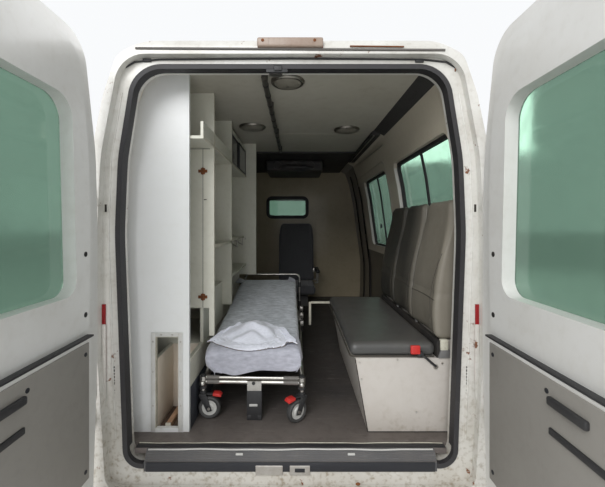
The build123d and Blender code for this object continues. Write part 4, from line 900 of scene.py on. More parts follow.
@dataclass
class RearEnd:
    """Rear doorway: its fittings, lamps, sill and door trims, with sizes in millimetres."""

    rim: float = -41.0
    floor_top: float = 555.0
    tread_half: float = 670.0
    nose: Span = (470.5, 512.0)
    stops: tuple[Span, ...] = ((-655.0, 2306.0), (590.0, 2304.0))
    latch: Span = (2292.0, 2330.0)
    slots: tuple[float, ...] = (944, 929, 914, 899, 884, 870, 838, 824, 810, 796, 782)
    top_corner: tuple[Span, ...] = ((0, 2356), (600, 2352), (712, 2340), (772, 2306), (812, 2200))
    pillar: tuple[Span, ...] = ((800, 620), (812, 900), (833, 1560), (822, 1902), (772, 2200))
    brake_lamp: tuple[Span, Span] = ((-147.0, 147.0), (2384.0, 2427.0))
    lamp_middle: float = 878.0
    hinge: tuple[float, float] = (880.0, -54.0)
    hinge_heights: Span = (740.0, 1710.0)

    def build(self, shop: Shop) -> None:
        """Build and dress the rear end."""
        shop.dress(rear_white="rear_frame", seal="rubber_seals", bumper_cream="rear_bumper", tread="rear_step",
                   steel="lock_strikers", lamp_red="tail_lamps", door_white="rear_door_right rear_door_left",
                   tint="rear_glass_right rear_glass_left")
        self.sill(shop)
        self.fittings(shop)
        self.drains(shop)
        self.lamps(shop)
        for side, name in SIDES:
            self.door_trim(shop, side, name)

    @staticmethod
    def wavy(reach: int, offset: float, height: float, waves: Sequence[Span]) -> list[Place]:
        """Lay out a line that wanders as it crosses the sill.

        Args:
            reach: How far it goes to each side.
            offset: Its mean distance ahead of the door plane.
            height: Height above the ground.
            waves: Swing and length of each wave.

        Returns:
            Points of the line.
        """
        return [(x, offset + sum(swing * math.sin(x / length) for swing, length in waves), height)
                for x in range(-reach, reach + 1, 24)]

    def sill(self, shop: Shop) -> None:
        """Nose band, edge strip, rubber line, screw plates and rust of the sill."""
        half, edge = self.tread_half - 10, 724
        form = Form().box((-half, half), (-8.5, -5.1), self.nose, 1)
        shop.piece(form, "sill_nose_band", Finishes.nose)
        strip = Form()
        strip.on(0).box((-edge, edge), (31, 60), (self.floor_top + 0.2, self.floor_top + 4), 1.5)
        strip.on(1).run(self.wavy(720, 61, self.floor_top + 3.5, ((1.6, 70), (1.2, 31))), 2.4, 8)
        shop.piece(strip, "floor_edge_strip", Finishes.seal, Finishes.raw_edge)
        line = Form().run(self.wavy(660, 22, self.floor_top - 1.5, ((2.2, 90), (1.5, 37))), 3.6, 8)
        shop.piece(line, "sill_rubber_line", Finishes.caster_hub)
        plates = Form()
        for x in (-236, 281):
            plates.box((x - 17, x + 17), (9, 15), (533, 543), 2)
        shop.piece(plates, "tread_screw_plates", Finishes.caster_hub)
        seam = Form()
        seam.run([(x, self.rim - 1, 406.5 + 1.2 * math.sin(x / 60)) for x in range(-30, 641, 32)], 2.8, 8)
        seam.ball(spot(302, self.rim, 440), 0.008, 14, (1.4, 0.12, 1.0))
        shop.piece(seam, "valance_rust", Finishes.rusty)

    def fittings(self, shop: Shop) -> None:
        """Stops, top latch and pillar slots of the frame."""
        form = Form()
        for x, z in self.stops:
            form.box((x - 20, x + 20), (-9, 3), (z + 34, z + 50), 4)
        low, high = self.latch
        form.box((-112, -12), (-7, 2), (low, high), 4)
        form.box((-76, -38), (-12.4, -6), (low + 6, high - 8), 5)
        shop.piece(form, "door_stops", Finishes.black)
        slots, proud = Form(), (-1.2, 0.6)
        for side, _ in SIDES:
            for index, z in enumerate(self.slots):
                x, tall = side * 808, 5.5 if index % 2 else 4
                slots.box((x - 4, x + 4), proud, (z - tall, z + tall), 1)
            slots.box((side * 846 - 5, side * 846 + 5), proud, (1655, 1690), 1)
        shop.piece(slots, "pillar_slots", Finishes.dark_line)

    def drains(self, shop: Shop) -> None:
        """Gutter over the doors, partly painted shade of the recess, a dark strip painted as the eave's shadow, rust
        lines, and the ridge of each pillar.
        """
        gutter_and_shade_lines = Form()
        for side, _ in SIDES:
            # Black gutter along the top corners of the doorway, partly painted shade of the recess above the doors.
            gutter_and_shade_lines.on(0).run([(side * x, -3, z) for x, z in self.top_corner], 4.2, 8)
        # Painted shadow: a dark brown strip along the eave over the doorway, in the cot sleeve's finish.
        gutter_and_shade_lines.on(2).run([(x, self.rim, 2380 - 0.006 * x) for x in range(-690, 691, 60)], 5.8, 8)
        gutter_and_shade_lines.on(1).run([(x, self.rim - 3, 2392 - 0.01 * (x - 266)) for x in range(266, 510, 40)], 3.4, 8)
        gutter_and_shade_lines.run([(752, -0.5, 2334), (755, -0.5, 2316), (754, -0.5, 2298)], 3, 8)
        shop.piece(gutter_and_shade_lines, "gutter_rust_and_eave_shadow", Finishes.black, Finishes.rusty, Finishes.sleeve_and_eave_shadow)
        channel = Form()
        for side, _ in SIDES:
            channel.run([(side * x, 0.5, z) for x, z in self.pillar], 5, 8)
        shop.piece(channel, "pillar_ridge", Finishes.rear_white)

    def lamps(self, shop: Shop) -> None:
        """Bands of the tail lamps and the faded cap of the high brake lamp."""
        across, up = self.brake_lamp
        cap = Form().box(across, (-58, -37), up, 8, 3)
        for x in range(-96, 97, 24):
            cap.box((x - 1.2, x + 1.2), (-59.5, -57.5), (up[0] + 8, up[1] - 8))
        for x in (-122, 108):
            cap.on(1).bar((x, -60, 2411), (x, -57, 2411), 6.5, 14)
        shop.piece(cap, "brake_lamp_cap", Finishes.faded, Finishes.rusty)
        for side, name in SIDES:
            bands, middle = Form(), side * self.lamp_middle
            for layer, low, high in ((0, 832, 905), (1, 1146, 1222)):
                bands.on(layer).box((middle - 14, middle + 14), (-46.5, -40), (low, high), 4)
            bands.on(2).box(sided(side, 842, 860.5), (-9.5, -4), (800, 1142), 2)
            shop.piece(bands, f"lamp_bands_{name}", Finishes.lamp_white, Finishes.amber, Finishes.rear_white)

    def door_trim(self, shop: Shop, side: int, name: str) -> None:
        """Card, pull, lock, screws, holes and hinge caps of one open rear door."""
        form = Form()
        for layer, across, along, up, bevel in (
            (0, (779, 785), (-874, -236), (612, 1140), 2),
            (1, (781, 809), (-905, -200), (1152, 1160), 3),
            (1, (772, 782), (-850, -560), (980, 1000), 3),
            (2, (764, 780), (-700, -560), (1068, 1094), 6),
            (2, (776, 786), (-929, -915), (1040, 1130), 3),
        ):
            form.on(layer).box(sided(side, *across), along, up, bevel)
        for z in (650, 1100):
            for y in (-850, -545, -260):
                form.on(3).bar((side * 777.5, y, z), (side * 781, y, z), 8, 14)
        for z in (1240, 1480):
            form.on(4).bar((side * 807, -212, z), (side * 808.4, -212, z), 10.5, 18)
        shop.piece(form, f"rear_door_trim_{name}", Finishes.card, Finishes.black, Finishes.black, Finishes.nose,
                   Finishes.dark_line, body=f"rear_door_{name}")
        cap, (x, y) = Form(), self.hinge
        for z in self.hinge_heights:
            for low, high in ((-42, -36.2), (36.2, 42)):
                cap.bar((side * x, y, z + low), (side * x, y, z + high), 10.5, 18)
        shop.piece(cap, f"hinge_caps_{name}", Finishes.rusty)


@dataclass
class Cabin:
    """Walls, floor, ceiling and bulkhead of the patient compartment, with sizes in millimetres."""

    ceiling: float = 2350.0
    lamps: tuple[Place, ...] = ((-19, 230, 88), (-312, 1071, 100), (422, 1146, 100))
    rail: Span = (-130.0, 2310.0)
    track: Span = (1200.0, 2440.0)
    entry: tuple[tuple[str, float, float], ...] = (
        ("sliding_door", 2690, 14), ("side_panel_right", 2735, 8), ("side_panel_right", 3085, 12))
    duct: tuple[Place, ...] = ((-250, 2420, 2235), (-80, 2340, 2250), (120, 2335, 2245), (300, 2420, 2230))

    def build(self, shop: Shop) -> None:
        """Build and dress the compartment."""
        shop.dress(white="side_panel_left side_panel_right roof_panel", slide_white="sliding_door", floor="floor_pan",
                   ceiling="ceiling_panel", dark_trim="ceiling_trim", rail_dark="ceiling_rail", unit="cooling_unit",
                   bulkhead="bulkhead", tint="side_glass")
        self.ceiling_lamps(shop)
        self.rail_fittings(shop)
        self.wall_fittings(shop)
        self.ducts(shop)

    def ceiling_lamps(self, shop: Shop) -> None:
        """Round lamps with frosted glasses in dull rings."""
        form = Form()
        for x, y, radius in self.lamps:
            origin, r = spot(x, y, self.ceiling - 0.3), radius / 1000
            inner, glass = r - 0.016, r - 0.017
            ring = [(inner, 0.0), (r, 0.0), (r, -0.008), (r - 0.006, -0.016), (inner, -0.016)]
            dome = [(0.0005, 0.0), (glass, 0.0), (glass, -0.014), (r - 0.03, -0.024), (0.0005, -0.028)]
            form.on(0).lathe(ring, origin, (0, 0, 1))
            form.on(1).lathe(dome, origin, (0, 0, 1))
            form.on(0).bar((x, y, self.ceiling - 30.5), (x, y, self.ceiling - 27), 7, 16)
        shop.piece(form, "ceiling_lamp_glasses", Finishes.lamp_ring, Finishes.diffuser, replaces=["ceiling_lamps"],
                   slot="lamp_diffuser")

    def rail_fittings(self, shop: Shop) -> None:
        """Sleeves of the grab rail, and the ceiling's joint strips."""
        form, (x, z) = Form(), self.rail
        for y in range(170, 1760, 148):
            form.on(0).bar((x, y, z), (x, y + 18, z), 15.8, 18)
        for y in (1290, 2110):
            form.on(1).box((-640, 640), (y, y + 26), (self.ceiling - 2.5, self.ceiling - 0.2), 0.8)
        shop.piece(form, "rail_sleeves", Finishes.black, Finishes.ceiling)

    def wall_fittings(self, shop: Shop) -> None:
        """Track lip, side entry seals and window latches of the right wall."""
        form = Form()
        form.on(0).box((646, 657), self.track, (2309, 2315), 1.5)
        form.on(1).box((627, 645), self.track, (2318, 2340), 3)
        form.on(0).run([(738, 1270, 2252), (732, 1740, 2262), (722, 2220, 2272)], 4.5, 10)
        shop.piece(form, "track_lip", Finishes.chrome, Finishes.black)
        seal = Form()
        for node, y, radius in self.entry:
            line = [shop.wall(node, y, z) for z in range(620, 2241, 90)]
            seal.pipe([point for point in line if point], radius / 1000, 10)
        shop.piece(seal, "entry_seals", Finishes.dark_line)
        latches = Form()
        for y in (700, 1925):
            latches.box((880, 896), (y - 16, y + 16), (1560, 1600), 4)
        shop.piece(latches, "window_latches", Finishes.black)

    def ducts(self, shop: Shop) -> None:
        """Hose and outlets of the cooling unit."""
        form = Form().run(self.duct, 26, 16)
        for x in (-190, 0, 190):
            form.on(1).lathe([(0.038, 0), (0.046, 0), (0.046, -0.02), (0.038, -0.02)], spot(x, 2352, 2268), (0, 1, 0),
                             24)
        shop.piece(form, "cooler_ducts", Finishes.unit, Finishes.rail_dark)


@dataclass
class Cabinet:
    """Shelving along the left wall, with sizes in millimetres."""

    aisle: float = -446.0
    low_front: float = -512.0
    end: float = 172.0
    face: float = 397.2
    back: float = 1640.0
    slot: tuple[float, float, float, float] = (-680.0, -565.0, 575.0, 1034.0)
    uprights: tuple[Place, ...] = ((398, -446, 962), (928, -446, 1018), (1641, -353, 1132))
    boards: tuple[tuple[float, ...], ...] = (
        (172, 1640, 2034.5, 2050.5), (416, 928, 1461.5, 1480.5), (946, 1500, 1475.5, 1494.5),
        (946, 1640, 1212.5, 1231.5))
    latches: Span = (1903.0, 1182.0)
    trim: float = 22.0

    def build(self, shop: Shop) -> None:
        """Build and dress the shelving."""
        shop.dress(board="cabinet_carcass", end_board="cabinet_end_panel", smoked="cupboard_doors")
        self.hardware(shop)
        self.edges(shop)
        self.slot_lining(shop)
        self.slot_frame(shop)
        self.cupboard_frame(shop)

    def hardware(self, shop: Shop) -> None:
        """Rusted latches, joint lines and shelf brackets."""
        form, line = Form(), (self.face, self.face + 0.7)
        for z in self.latches:
            form.on(0).box((-521, -497), (396.2, 398.4), (z - 18, z + 18), 1)
            form.bar((-509, 394, z - 20), (-509, 394, z + 20), 5, 12)
            form.box((-536, -484), (395.4, 397.8), (z - 9, z + 9), 2)
        for across, up in (((-510.5, -508), (1122, 2034)), ((-640, -470), (2029, 2032)),
                           ((-504, -488), (1737, 1742))):
            form.on(1).box(across, line, up, 0.2)
        form.on(2)
        for y in (980, 1300, 1590):
            form.bar((self.aisle + 1, y, 1458), (self.aisle + 1, y, 1474), 4, 10)
            form.run([(-470, y, 1470), (-470, y, 1410), (-560, y, 1464)], 5, 8)
        shop.piece(form, "cabinet_hardware", Finishes.rusty, Finishes.dark_line, Finishes.steel)

    def edges(self, shop: Shop) -> None:
        """Pale edge bands of the boards that face the aisle, and the dark kick board."""
        form, front = Form(), self.low_front
        for y, x, z in self.uprights:
            form.box((x + 0.2, x + 1.8), (y - 0.6, y + 18.6), (z, 2348), 0.5)
        for y0, y1, z0, z1 in self.boards:
            form.box((self.aisle + 0.2, self.aisle + 1.4), (y0, y1), (z0, z1), 0.4)
        form.box((front + 0.2, front + 1.6), (170, self.back), (903, 918.6), 0.4)
        form.on(1).box((front + 0.3, front + 2.2), (self.end, self.back), (556, 772), 0.5)
        shop.piece(form, "cabinet_edge_bands", Finishes.raw_edge, Finishes.kick)

    def slot_lining(self, shop: Shop) -> None:
        """Lining, floor and stored plank seen through the slot of the end panel, and the wall of the bay."""
        x = self.slot[0]
        form = Form()
        for layer, across, along, up, bevel in (
            (0, (x + 0.2, x + 1.4), (174, 396), (557, 915), 0.5),
            (0, (x + 1.6, -532), (394, 397.6), (557, 916), 0.5),
            (1, (x + 1.6, -532), (174, 393), (556, 558.5), 0.5),
            (2, (-640, -614), (184, 392), (559, 582), 2),
            (3, (-641, -613), (176, 184), (560, 586), 2),
            (4, (-786, -783.5), (176, 396), (920, 2026), 0.5),
        ):
            form.on(layer).box(across, along, up, bevel)
        shop.piece(form, "slot_lining", Finishes.hollow, Finishes.cavity, Finishes.plank, Finishes.raw_edge,
                   Finishes.bay_wall)

    def slot_frame(self, shop: Shop) -> None:
        """Edge band, screwed trim and screws round the slot."""
        x0, x1, z0, z1 = self.slot
        wide, top = self.trim, z1 + self.trim
        frame = Form()
        for across, up in (((x0 - 1, x0 + 2), (z0, z1)), ((x1 - 2, x1 + 1), (z0, z1)),
                           ((x0 - 1, x1 + 1), (z1 - 2, z1 + 1))):
            frame.on(0).box(across, (150, 173), up, 0.6)
        for across, up in (((x0 - wide, x0), (z0 - 16, top)), ((x1, x1 + wide), (z0 - 16, top)),
                           ((x0, x1), (z1 + 1, top))):
            frame.on(2).box(across, (147.6, 149.8), up, 0.6)
        screws = [(x, z) for x in (x0 - 11, x1 + 12) for z in (690, 860, 1010)]
        for x, z in (*screws, (x0 + 30, z1 + 11), (x1 - 30, z1 + 11)):
            frame.on(1).bar((x, 146.4, z), (x, 148.4, z), 4.2, 12)
        shop.piece(frame, "slot_edge_band", Finishes.raw_edge, Finishes.steel, Finishes.slot_trim)

    def cupboard_frame(self, shop: Shop) -> None:
        """Black frames of the sliding cupboard doors."""
        form, low, high, rail = Form(), 2052, 2276, 14
        for y0, y1, x in ((947, 1299, self.aisle - 12), (1291, self.back, self.aisle - 4)):
            for along, up in (((y0, y1), (low, low + rail)), ((y0, y1), (high - rail, high)),
                              ((y0, y0 + rail), (low, high)), ((y1 - rail, y1), (low, high))):
                form.box((x + 0.1, x + 3.0), along, up, 0.8)
        shop.piece(form, "cupboard_door_frames", Finishes.black)


@dataclass
class Bench:
    """Bench on the right: box, cushion, three backrests and belt hardware, with sizes in millimetres."""

    start: float = 154.0
    end: float = 1292.0
    top: float = 926.0
    cushion_top: float = 1005.0
    backs_low: float = 1011.0
    backs_high: float = 1727.0
    seam_levels: Span = (1.212, 1.487)

    def build(self, shop: Shop) -> None:
        """Build and dress the bench."""
        shop.dress(bench="bench_box")
        self.cushion(shop)
        self.backs(shop)
        self.hardware(shop)
        self.joints(shop)

    def cushion(self, shop: Shop) -> None:
        """Long vinyl cushion with a crowned top and rounded front edge."""
        pad = Pad(spot(297, self.start + 5, self.top + 0.6), spot(733, self.end - 1, self.cushion_top - 6),
                  radius=0.034, crown=0.012, pull=0.006, creases=0.0016, cuts=43)
        made = shop.piece(pad.form(), "bench_cushion_pad", Finishes.cushion, replaces=["bench_cushion"],
                          slot="cushion_vinyl", subdivide=1)
        y0, y1, z = self.start + 14, self.end - 10, self.top + 5
        welt = Form().run([(724, y0, z), (314, y0, z), (300, y0 + 14, z), (300, y1 - 14, z), (314, y1, z),
                           (724, y1, z)], 4.5, 8)
        shop.piece(welt, "cushion_welt", Finishes.piping)

    def backs(self, shop: Shop) -> None:
        """Three backrests with side bolsters and cross seams."""
        pitch, gap = (self.end - self.start) / 3, 4
        seams = Form()
        for index in range(3):
            y0, y1 = self.start + pitch * index + gap, self.start + pitch * (index + 1) - gap
            middle, half = spot(0, (y0 + y1) / 2, 0).y, (y1 - y0) / 2000

            def shaped(place: Vector, unit: Vector, middle: float = middle, half: float = half) -> Vector:
                """Give the back its S line, its bolsters and its narrow head."""
                z, side = (place.z - 1.010) / 0.719, (place.y - middle) / half
                lean = -0.010 + z * (-0.146 + z * (0.490 - 0.272 * z))
                front = held((0.866 - place.x) / 0.10, 0.0, 1.0)
                bolster = 0.020 * front * abs(side) ** 5 * (1 - held((z - 0.62) / 0.2, 0.0, 1.0))
                hollow = 0.010 * front * math.exp(-((side / 0.5) ** 2)) * (1 - z)
                place.x += lean * front - bolster + hollow
                place.y = middle + (place.y - middle) * (1 - 0.16 * held((z - 0.72) / 0.28, 0.0, 1.0) ** 2)
                return place

            pad = Pad(spot(752, y0, self.backs_low), spot(862, y1, self.backs_high), radius=0.038, crown=0.006,
                      pull=0.003, top=(0, -1), cuts=43, creases=0.0014, warp=shaped,
                      grooves=(Groove(2, 1.245, 0.004, 0.006), Groove(2, 1.487, 0.004, 0.006)))
            made = shop.piece(pad.form(), f"backrest_{index + 1}", Finishes.backrest,
                              replaces=["bench_backrests"] if index == 0 else [], slot="backrest_vinyl", subdivide=1)
            self.sew(seams, pad)
        shop.piece(seams, "backrest_seams", Finishes.piping)

    def sew(self, seams: Form, pad: Pad) -> None:
        """Run the two cross seams and the curved side seam over the front of a backrest."""
        thread, sides = 0.0021, 8
        for level in self.seam_levels:
            seams.pipe([self.touch(pad, 2 * step / 19 - 1, level) for step in range(1, 19)], thread, sides)
        levels = (1.06, 1.11, 1.16, 1.21, 1.25, 1.29, 1.33, 1.37, 1.41, 1.45)
        bend = [(-0.46 - 0.44 * held((level - 1.21) / 0.24, 0.0, 1.0) ** 2, level) for level in levels]
        seams.pipe([self.touch(pad, side, level) for side, level in bend], thread, sides)

    @staticmethod
    def touch(pad: Pad, side: float, level: float) -> Vector:
        """Find the point of a pad's front at a height.

        Args:
            pad: The pad.
            side: Place across it, from -1 to 1.
            level: Height in metres.

        Returns:
            The point.
        """
        low, high = -1.0, 1.0
        for _ in range(24):
            middle = (low + high) / 2
            low, high = (middle, high) if pad.settle(Vector((-1.0, side, middle))).z < level else (low, middle)
        return pad.settle(Vector((-1.0, side, low)))

    def hardware(self, shop: Shop) -> None:
        """Belt bracket, buckle on its stalk, and screws of the box."""
        face = 146
        form = Form()
        form.on(0).box((750, 790), (face, 172), (965, 1020), 6)
        form.on(1).slab([spot(x, face, z) for x, z in ((738, 927), (812, 927), (800, 968), (752, 968))],
                        Vector((0, 0.03, 0)), 0.003)
        form.on(2).run([(726, 149, 886), (704, 144, 905), (676, 141, 930), (648, 144, 950)], 6, 10)
        form.box((632, 662), (137, 152), (938, 962), 4)
        form.on(3).box((597, 645), (134, 151), (950, 994), 6, 3)
        form.on(4).bar((726, 149, 884), (726, 155, 884), 12, 16)
        for x, z in ((345, 905), (355, 820), (535, 918), (630, 654), (760, 900)):
            form.bar((x, 151.2, z), (x, self.start, z), 5, 12)
        for y in (500, 880):
            form.on(1).box((742, 756), (y - 14, y + 14), (1008, 1040), 4)
        shop.piece(form, "belt_hardware", Finishes.raw_edge, Finishes.seat_grey, Finishes.black, Finishes.red,
                   Finishes.steel)

    def joints(self, shop: Shop) -> None:
        """Dark joints of the box, a dark box painted as the shade in the gap behind the cushion, and the frame at the
        bench's far end.
        """
        edge, y, foot = Form(), self.start - 1, 557
        edge.run([(386, y, foot), (322, y, self.top - 1)], 2.2, 6)
        edge.run([(388, y, foot - 0.5), (930, y, foot - 0.5)], 2.5, 6)
        # Painted shade: a near-black box fills the gap between the cushion and the backrests.
        edge.box((733.5, 760), (156, 1290), (self.top + 0.5, 1013), 1)
        shop.piece(edge, "bench_joint_lines_and_gap_shade", Finishes.dark_line)
        flap = Form()
        flap.box((128, 148), (1286, 1300), (760, 952), 3)
        flap.box((146, 340), (1288, 1298), (938, 956), 3)
        shop.piece(flap, "bench_end_frame", Finishes.raw_edge)


@dataclass(frozen=True)
class Drape:
    """How a cloth settles by simulation: its steps, how far a point may move, and the cloth's own values."""

    frames: int
    most: float
    gap: float = 0.003
    touch: float = 0.002
    friction: float = 40.0
    cloth: tuple[tuple[str, float], ...] = (
        ("quality", 5), ("mass", 0.22), ("tension_stiffness", 12.0), ("compression_stiffness", 12.0),
        ("shear_stiffness", 6.0), ("bending_stiffness", 0.12), ("air_damping", 3.0))

    def settle(self, made: bpy.types.Object, under: Sequence[bpy.types.Object]) -> None:
        """Let a cloth settle and keep its shape.

        Args:
            made: The cloth, in its starting folds.
            under: Pieces that it lies on.
        """
        resting = [modifier for support in under for modifier in support.modifiers]
        for modifier in resting:
            modifier.show_viewport = False
        for support in under:
            support.modifiers.new("Touch", "COLLISION")
            support.collision.thickness_outer = self.touch
            support.collision.cloth_friction = self.friction
        modifier = made.modifiers.new("Cloth", "CLOTH")
        for name, value in self.cloth:
            setattr(modifier.settings, name, value)
        contact = modifier.collision_settings
        contact.collision_quality = 2
        contact.distance_min = contact.self_distance_min = self.gap
        contact.use_self_collision = True
        modifier.point_cache.frame_start, modifier.point_cache.frame_end = 1, self.frames
        scene = bpy.context.scene
        for frame in range(1, self.frames + 1):
            scene.frame_set(frame)
        found = made.evaluated_get(bpy.context.evaluated_depsgraph_get()).data
        for vert, ended in zip(made.data.vertices, found.vertices):
            step = ended.co - vert.co
            vert.co += step if step.length < self.most else step.normalized() * self.most
        made.modifiers.remove(modifier)
        for support in under:
            support.modifiers.remove(support.modifiers["Touch"])
        for modifier in resting:
            modifier.show_viewport = True
        scene.frame_set(1)
        LOG.info("%s settled in %d frames", made.name, self.frames)


@dataclass
class Stretcher:
    """Stretcher with its sloping mattress, sheet, cloth and casters.

    The mattress and what lies on it are measured in metres from the middle of its foot, the rest in millimetres.
    """

    foot: Place = (-205.0, 262.0, 930.0)
    slope: float = 6.3
    turn: float = 1.3
    half: float = 0.256
    long: float = 1.430
    thick: float = 0.075
    low: float = 752.0
    axle: float = 615.3
    hoop: Place = (54.0, 1712.0, 820.0)
    casters: tuple[Place, ...] = ((-475, 280, 90), (56, 263, -53), (-462, 1640, 0), (54, 1640, 0))
    wheel: tuple[float, float] = (0.060, 0.035)
    sheet: tuple[float, float] = (0.700, 0.270)
    fall: float = 0.134
    towel: tuple[float, float] = (0.56, 0.34)

    def place(self) -> Matrix:
        """Frame of the mattress: from the middle of its foot, with its length along the second axis."""
        turned = Matrix.Rotation(math.radians(self.slope), 4, "X") @ Matrix.Rotation(math.radians(self.turn), 4, "Z")
        return Matrix.Translation(spot(*self.foot)) @ turned

    def build(self, shop: Shop) -> None:
        """Build and dress the stretcher."""
        shop.dress(chrome="stretcher_frame")
        mattress = self.mattress(shop)
        sheet = self.foot_sheet(shop, mattress)
        self.cloth(shop, [mattress, sheet])
        self.corners(shop)
        self.wheels(shop)
        self.fittings(shop)

    def mattress(self, shop: Shop) -> bpy.types.Object:
        """Long mattress under a mottled cover."""
        edge = 0.002
        pad = Pad(Vector((edge - self.half, edge, 0.001 - self.thick)),
                  Vector((self.half - edge, self.long - edge, -0.006)),
                  radius=0.030, crown=0.008, pull=0.004, creases=0.003, cuts=43)
        form = pad.form()
        bmesh.ops.transform(form.bm, matrix=self.place(), verts=form.bm.verts[:])
        made = shop.piece(form, "mattress_pad", Finishes.mottled, replaces=["stretcher_mattress"],
                          slot="mattress_cloth", subdivide=1)
        return made

    def sheeting(self, shop: Shop, name: str, finish: Finish, flat: tuple[float, float], cells: tuple[int, int],
                 laid: Callable[[float, float], Vector]) -> bpy.types.Object:
        """Make a cloth from its flat grid.

        Args:
            shop: Materials and nodes.
            name: Name of the piece.
            finish: Its finish.
            flat: Width and length that it was cut to, in metres.
            cells: Divisions each way.
            laid: Where a point of the flat cloth lies on the mattress.

        Returns:
            The cloth, with no thickness yet.
        """
        bm = bmesh.new()
        bmesh.ops.create_grid(bm, x_segments=cells[0], y_segments=cells[1], size=0.5)
        place = self.place()
        for vert in bm.verts:
            vert.co = place @ laid(vert.co.x * flat[0], vert.co.y * flat[1])
        mesh = bpy.data.meshes.new(name)
        bm.to_mesh(mesh)
        bm.free()
        mesh.materials.append(shop.palette.get(finish))
        mesh.shade_smooth()
        made = bpy.data.objects.new(name, mesh)
        bpy.context.scene.collection.objects.link(made)
        return made

    @staticmethod
    def thicken(made: bpy.types.Object, thickness: float) -> None:
        """Give a settled cloth its thickness and carry it on the body."""
        thick = made.modifiers.new("Thickness", "SOLIDIFY")
        thick.thickness = thickness
        thick.offset = 1.0
        smooth = made.modifiers.new("Subdivision", "SUBSURF")
        smooth.levels = smooth.render_levels = 1
        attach(made, "body")

    def foot_sheet(self, shop: Shop, mattress: bpy.types.Object) -> bpy.types.Object:
        """Pale sheet laid over the foot of the mattress, hanging over its end and sides."""
        flat, bend, top, overhang = self.sheet, 0.036, 0.007, 0.007
        half, quarter = self.half + 0.004, math.pi / 2

        def laid(s: float, t: float) -> Vector:
            """Fold the flat sheet over the edges of the mattress."""
            t += flat[1] / 2
            over_side, over_end = max(0.0, abs(s) - (half - bend)), max(0.0, self.fall - t)
            x, y, z = s, bend - overhang + (t - self.fall), top
            z -= bend * (1 - math.cos(min(max(over_side, over_end) / bend, quarter)))
            drops = [max(0.0, over - bend * quarter) for over in (over_side, over_end)]
            if over_side > 0:
                x = math.copysign(half - bend + bend * math.sin(min(over_side / bend, quarter)), s)
            if over_end > 0:
                y = bend - overhang - bend * math.sin(min(over_end / bend, quarter))
            z -= math.hypot(drops[0], drops[1] * (1 - 0.20 * s / half))
            low = held((top - z) / 0.08, 0.0, 1.0)
            ripple = noise.noise(Vector((s * 9, t * 9, 0.3)))
            y -= 0.010 * low * (0.5 + 0.5 * math.sin(s * 26 + 1.0 + 2 * ripple)) if over_end > 0 else 0.0
            x *= 1 - 0.17 * held((-0.070 - z) / 0.05, 0.0, 1.0) ** 1.4
            return Vector((x, y, z + 0.004 * abs(ripple) + 0.007 * low * math.sin(s * 21 + 0.8)))

        made = self.sheeting(shop, "foot_sheet", Finishes.pale_cloth, flat, (60, 28), laid)
        Drape(frames=10, most=0.02).settle(made, [mattress])
        self.thicken(made, 0.0016)
        return made

    def cloth(self, shop: Shop, under: Sequence[bpy.types.Object]) -> None:
        """Crumpled white cloth on the foot of the mattress."""
        flat, cells = self.towel, (70, 54)

        def laid(s: float, t: float) -> Vector:
            """Gather the flat cloth into a domed half-moon with soft folds."""
            u, v = 2 * s / flat[0], t / flat[1] + 0.5
            near = 0.004 + 0.057 * u * u - 0.027 * u * abs(u)
            depth = 0.075 + 0.275 * (1 - abs(u) ** 2.8) * (1 - 0.10 * u)
            fold = math.sin(s * 30 + t * 34 + 5 * noise.noise(Vector((s * 5, t * 5, 1.0))))
            cross = math.sin(t * 46 - s * 14 + 6 * noise.noise(Vector((s * 6, t * 6, 3.0))))
            inner = max(0.0, 1 - abs(u) ** 4) * (1 - (1 - v) ** 6)
            mound = 0.084 * math.exp(-(((u + 0.04) / 0.62) ** 2) - (((v - 0.58) / 0.48) ** 2))
            lift = 0.0065 * (1 + fold) * (0.35 + 0.65 * inner) + 0.0065 * (1 + cross) * inner + mound
            wobble = Vector((noise.noise(Vector((s * 7, t * 7, 8.0))), noise.noise(Vector((s * 7, t * 7, 11.0))), 0))
            return Vector((s * 0.985 - 0.006, near + depth * v, 0.012 + lift)) + wobble * 0.018 * inner

        made = self.sheeting(shop, "crumpled_cloth", Finishes.white_cloth, flat, cells, laid)
        Drape(frames=14, most=0.05).settle(made, under)
        # A dark pipe along the cloth's near edge: partly its hem, partly painted shadow under the edge.
        hem_shadow_line = Form().pipe([vert.co.copy() for vert in made.data.vertices[:cells[0] + 1]], 0.0024, 8)
        shop.piece(hem_shadow_line, "cloth_hem_shadow_line", Finishes.hem_shadow_line)
        self.thicken(made, 0.002)

    def corners(self, shop: Shop) -> None:
        """Loose corners of the cover at the head."""
        form = Form().under(self.place())
        half, y = self.half, self.long
        left = ((0.02 - half, -0.16, -0.004), (-0.042 - half, -0.115, -0.010), (-0.030 - half, -0.07, 0.004),
                (-0.010 - half, -0.045, 0.012), (0.03 - half, -0.06, 0.004))
        right = ((half - 0.075, -0.10, 0.004), (half - 0.060, -0.015, 0.014), (half - 0.010, -0.06, 0.002),
                 (half - 0.004, -0.12, -0.006))
        for corner in (left, right):
            form.slab([Vector((x, y + back, z)) for x, back, z in corner], Vector((0, 0, 0.006)), 0.002)
        shop.piece(form, "cover_corners", Finishes.pale_cloth, subdivide=1)

